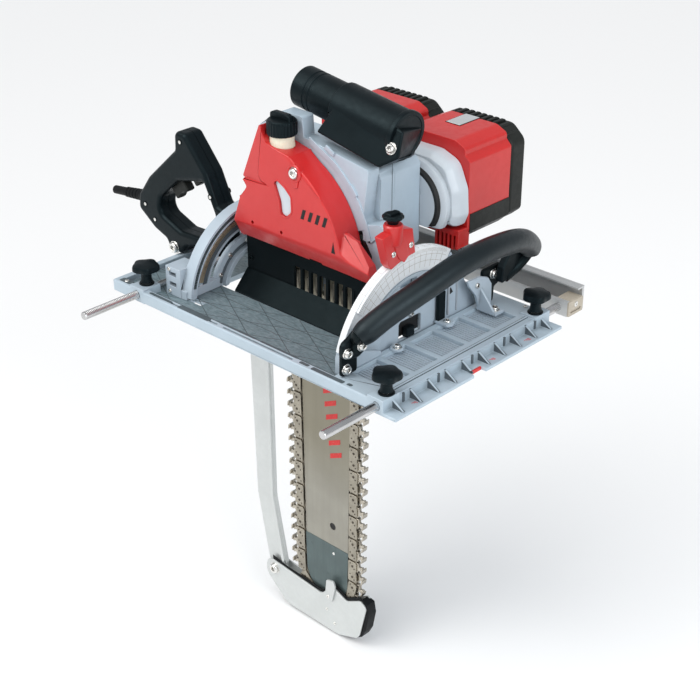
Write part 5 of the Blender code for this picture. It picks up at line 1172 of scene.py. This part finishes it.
def cover():
    rise = [(x, z, 0) for x, z in arc(COVER_ARC_CENTRE, 122, 62, 14, 26)]
    outline = rounded([(-243, 76, 1.5), (-241, 97, 8), (-229, 131, 6), (-216, 146, 3), (-228, 155, 3),
                       (-195, 225, 1.5), (-184, 206, 6), (-148, 198.5, 5), *rise, (-64, 94, 2),
                       (-61, 76, 2)], 6)
    tongue = rounded([(-82, 90, 0), (-80, 128, 6), (-58, 120, 10), (-35, 99, 3), (-32, 90, 3),
                      (-35, 76, 1.5), (-64, 76, 0)], 6)

    def slope(line, rate):
        return lambda x, z: COVER_FRONT + rate * (Vector((x, z)) - line[0]).dot(line[1])

    def half_plane(line, reach):
        along = Vector((-line[1].y, line[1].x))
        return [tuple(line[0] + along * a + line[1] * b) for a, b in ((-reach, 0), (reach, 0),
                (reach, reach), (-reach, reach))]

    fall = (Vector((-67, 104)), Vector((0.45, 0.89)))
    nose = boolean(prism_mesh([tongue], "XZ", COVER_FRONT, -26),
                   [depth_cutter(half_plane(fall, 70), slope(fall, 0.8))])
    body = boolean(prism_mesh([outline], "XZ", COVER_FRONT, -9), [nose], "UNION")
    inner = prism_mesh([[(-239, 60), (-238, 97), (-226, 130), (-214, 145), (-224, 156), (-200, 205),
                         (-186, 203), (-150, 194.5), *arc(COVER_ARC_CENTRE, 118.5, 60, 14, 16), (-68, 94),
                         (-66, 60)]], "XZ", -29.5, 0)
    line_a = (Vector((-145, 190)), Vector((0.53, 0.85)).normalized())
    line_b = (Vector((-80.7, 150)), Vector((0.943, 0.332)).normalized())

    tools = [inner, depth_cutter(half_plane(line_a, 160), slope(line_a, 0.17)),
             depth_cutter(half_plane(line_b, 160), slope(line_b, 0.17)), depth_cutter([(-188.5, 232),
            (-198.5, 165), (-193, 158.5), (-185, 156), (-260, 150), (-260, 232)], lambda x,
            z: -43.0 + 0.10 * (-185 - x)), depth_cutter([(-260, 99), (-10, 99), (-10, 60), (-260, 60)],
            lambda x, z: COVER_FRONT + (99 - z) * 0.577),
             prism_mesh([rounded(SIGHT_WINDOW)], "XZ", -60, -40),
             lathe_mesh([(0, 213.7), (18.3, 213.7), (18.3, 240), (0, 240)], TANK, UP, 48),
             brick_mesh((-260, -17, 60), (-20, -4, 80), 0),
             lathe_mesh([(0, 180), (14.3, 180), (14.3, 230), (0, 230)], TANK, UP, 48),
             brick_mesh((-236, -31, 60), (-66, 0, 95), 0), brick_mesh((-129, -60, 70), (-111, -30, 79.5), 0),
             lathe_mesh([(0, 20), (2.2, 20), (2.2, 60), (0, 60)], (-209, 0, 104), NEAR, 20),
             lathe_mesh([(0, 20), (2.2, 20), (2.2, 60), (0, 60)], (-162, 0, 105), NEAR, 20),
             lathe_mesh([(0, 20), (4.5, 20), (4.5, 60), (0, 60)], COVER_BOLT, NEAR, 28)]
    body = boolean(body, tools)
    soften(body, 1.5, 3, 38, 1.2)
    finish_mesh("cover_shell", body, "red", SAW, ("chain_cover",), 34)
    rim = shrink(rounded(SIGHT_WINDOW), -2.2)
    hole = rounded(SIGHT_WINDOW)
    prism("sight_rim", [rim, hole], "XZ", -44.6, -42.6, "red", SAW, 0.5, 3)
    prism("sight_glass", [shrink(rounded(SIGHT_WINDOW), 0.3)], "XZ", -41.5, -40.6, "bell", SAW, 0.2)
    boss = lathe_mesh([(4.6, 40), (10.5, 40), (10.5, 44.8), (9.6, 45.7), (8.0, 45.7), (7.0, 44.2),
                       (4.6, 44.2)], COVER_BOLT, NEAR, 48)
    finish_mesh("screw_boss", boss, "red", SAW)
    drop = prism_mesh([rounded([(-148.5, 186, 2), (-130.0, 186, 2), (-134, 166, 4), (-140, 163, 4)])], "XZ",
                      -45.2, -42.8, 0.8, 3)
    finish_mesh("screw_boss_tail", drop, "red", SAW)
    bolt = screw("cover_bolt", (-139, -44.4, 182), NEAR, 6.3, 3.6, SAW, washer=7.0)
    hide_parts("cover_screw")
    prism("direction_arrow", [[(-84, 104), (-78, 104), (-81, 118)]], "XZ", -44.12, -43.9, "ink_and_gap_shade", SAW, 0.02,
          1)
    for i in range(4):
        x = -131 + 11 * i
        prism(f"cover_stripe_{i}", [[(x, 131), (x + 5, 131), (x + 9, 143), (x + 4, 143)]], "XZ", -44.12,
              -43.9, "ink_and_gap_shade", SAW, 0.02, 1)


def oil_tank():
    refined("oil_tank", 0.8, "cream", SAW, 2)
    lathe("tank_neck_ring", [(11, 200), (13.9, 200), (14.4, 201), (14.4, 203.5), (13.9, 204.5),
                             (13.9, 213.8), (11, 213.8)], TANK, UP, "cream", SAW, 56)

    def knurl(radius, height, angle):
        return radius + (0.35 * cos(angle * 28) if 16.6 < radius < 18.5 and 216 < height < 229 else 0)

    lathe("oil_cap_top", [(0, 206), (10.2, 206), (10.2, 214.5), (16.8, 214.5), (17.3, 215.4), (17.3, 217),
                          (17.2, 219), (17.2, 228), (16.6, 230.4), (15.2, 231.6), (13, 232), (0, 232)], TANK,
          UP, "black", "oil_cap", 168, ("oil_cap",), knurl, 30)
    bar = prism_mesh([rounded([(-190.5, 229, 2), (-190.5, 237, 3), (-185, 239, 3), (-165, 239, 3),
            (-159.5, 237, 3), (-159.5, 229, 2)])], "XZ", -30.2, -22.8, 1.4, 3)
    finish_mesh("oil_cap_bar", bar, "black", "oil_cap", (), 38)
    lathe("oil_cap_seal", [(10.4, 213.9), (15.5, 213.9), (15.5, 214.6), (10.4, 214.6)], TANK, UP, "rubber",
          "oil_cap", 40)


def skirt():
    refined("chain_skirt", 0.5, "black_paint", SAW, 2)
    lip = [(-17, 26), (-39, 3), (-39.3, 0.6), (-35.5, 0.6), (-15.6, 22)]
    prism("skirt_lip", [lip], "YZ", -249.5, -56.5, "black_paint", SAW, 0.4)
    for i, (x, z) in enumerate(((-243, 70), (-243, 40), (-64, 70), (-180, 73), (-120, 73))):
        screw(f"skirt_screw_{i}", (x, -16.1, z), NEAR, 3.2, 2.0, SAW, "black_paint")
    frames = [brick_mesh((-171.2 + 13.6 * k, -16.7, 9), (-170.2 + 13.6 * k, -15.8, 51), 0.2)
              for k in range(8)]
    finish_mesh("skirt_frames", merge(frames), "black_paint", SAW)
    chips = [brick_mesh((-168.5 + 13.6 * k, -11.5, 14 + 4 * (k % 3)),
                        (-163 + 13.6 * k, -9.8, 46 - 5 * (k % 2)), 0.8) for k in range(7)]
    finish_mesh("inner_fingers", merge(chips), "chain", SAW)


def dust_port():
    refined("dust_box", 1.2, "black", SAW, 3)
    start, end = Vector((-195.0, 30.0, 251.0)), Vector((-42.0, 30.0, 229.0))
    way = (end - start).normalized()
    length = (end - start).length
    lathe("nozzle_tube", [(21.5, 0), (23.2, 0), (24, 0.9), (24, 18), (23.2, 19), (23.2, 21.5), (24, 22.5),
                          (24, 25.5), (23.3, 26.5), (23.3, 28), (24, 29), (24, length - 9),
                          (23.5, length - 8), (21.5, length - 8)], start, way, "black", "dust_nozzle", 96,
          ("dust_nozzle",))
    lathe("sleeve_end", [(0, length - 6), (28.2, length - 6), (28.6, length - 5), (28.6, length - 0.8),
                         (28.0, length + 0.4), (24, length + 0.8), (23, length - 0.2), (0, length - 0.2)],
          start, way, "black", SAW, 80)
    corner = Vector((-141, -8, 220.5))
    face = (Vector((-30, 10, 242)) - corner).cross(Vector((-122, 10, 258.8)) - corner).normalized()
    bolt = screw("duct_screw", Vector((-38.5, 1.6, 223.6)) + face, face, 5.0, 4.0, SAW, washer=6.8)
    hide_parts("dust_clamp_screw")


def bevel_clamp():
    refined("bevel_clamp", 0.9, "red", SAW, 2)
    for i, (y, z) in enumerate(((-39.7, 127.6), (-12, 130))):
        screw(f"clamp_screw_{i}", (2.9, y, z), AHEAD, 3.4, 1.1, SAW)
    collar = lathe_mesh([(0, 136.5), (8.6, 136.5), (9.4, 138), (10.2, 150), (10.8, 158), (9.6, 159.6),
                         (0, 159.6)], (-2.5, CLAMP_Y, 0), UP, 40)
    spine = prism_mesh([rounded([(-31, 119, 2), (-23, 113, 2), (-16, 119, 2), (-20, 134, 4), (-27, 150, 5),
            (-41, 150, 5), (-38, 132, 6)])], "YZ", 2.5, 4.1, 0.7, 3)
    finish_mesh("clamp_spine", merge([collar, spine]), "red", SAW, (), 40)

    def grip_waves(radius, height, angle):
        return radius + (0.4 * cos(angle * 10) if radius > 10.8 else 0)

    lathe("clamp_knob", [(0, 160.2), (6.0, 160.2), (6.3, 162), (8, 164), (11.2, 166.2), (11.5, 167.4),
                         (11.3, 169), (10, 170.2), (8, 170.5), (7, 169.8), (0, 169.6)], (-3, CLAMP_Y, 0), UP,
          "black", "clamp_lever", 80, ("clamp_lever",), grip_waves, 40)
    bar = prism_mesh([rounded([(-43, 167.7, 1), (-42.5, 172.4, 2), (-39, 173.4, 2), (-30, 173.4, 2),
            (-26.5, 172.4, 2), (-26, 167.7, 1)])], "YZ", -6, 0, 1.2, 3)
    finish_mesh("clamp_handle", bar, "black", "clamp_lever", (), 38)


# Stage ------------------------------------------------------------------------------
def stage():
    work = bmesh.new()
    bmesh.ops.create_grid(work, x_segments=2, y_segments=2, size=25.0)
    mesh = bpy.data.meshes.new("floor")
    work.to_mesh(mesh)
    work.free()
    floor = add_object("floor", mesh)
    floor.location = (0, 0, -0.462)
    paper = bpy.data.materials.new("floor_paper")
    paper.use_nodes = True
    shader = paper.node_tree.nodes["Principled BSDF"]
    shader.inputs["Base Color"].default_value = (0.93, 0.93, 0.93, 1)
    shader.inputs["Roughness"].default_value = 0.9
    shader.inputs["Specular IOR Level"].default_value = 0.1
    mesh.materials.append(paper)

    world = bpy.data.worlds.new("studio")
    bpy.context.scene.world = world
    world.use_nodes = True
    background = world.node_tree.nodes["Background"]
    background.inputs["Color"].default_value = (0.93, 0.96, 1.0, 1)
    background.inputs["Strength"].default_value = 0.52
    sun = bpy.data.lights.new("sun", "SUN")
    sun.energy = 1.65
    sun.angle = radians(65)
    sun.color = (1.0, 0.985, 0.96)
    lamp = add_object("sun", sun)
    lamp.rotation_euler = Vector((0.25, 0.75, -1.15)).to_track_quat("-Z", "Y").to_euler()
    for name, place, size, power, colour in (("key", (-0.9, -1.6, 1.6), 1.2, 13, (1.0, 0.99, 0.97)), ("fill",
            (1.8, -0.4, 0.9), 1.4, 22, (0.94, 0.97, 1.0))):
        light = bpy.data.lights.new(name, "AREA")
        light.size = size
        light.energy = power
        light.color = colour
        lamp = add_object(name, light)
        lamp.location = place
        lamp.rotation_euler = (Vector((-0.1, 0, 0)) - Vector(place)).to_track_quat("-Z", "Y").to_euler()
    bpy.context.scene.view_settings.view_transform = "Standard"

    camera = bpy.data.cameras.new("camera")
    camera.sensor_width = 36
    camera.lens = CAMERA_LENS
    eye = add_object("camera", camera)
    turn, lift = CAMERA_TURN, CAMERA_LIFT
    back = Vector((sin(turn) * cos(lift), -cos(turn) * cos(lift), sin(lift)))
    right = Vector((cos(turn), sin(turn), 0))
    matrix = Matrix((right, back.cross(right), back)).transposed().to_4x4()
    matrix.translation = CAMERA_PLACE
    eye.matrix_world = matrix
    bpy.context.scene.camera = eye


base()
for knob_name, knob_x, knob_y in (("near_front", 66, -119), ("far_front", 66, 134),
        ("near_rear", -315, -119)):
    knob(knob_name, knob_x, knob_y)
side_fence()
quadrants()
bail_handle()
back_handle()
gearbox()
for motor_name, motor_x in MOTOR_X.items():
    motor(motor_name, motor_x)
drive()
guide_bar()
chain()
guard()
cover()
oil_tank()
skirt()
dust_port()
bevel_clamp()
stage()
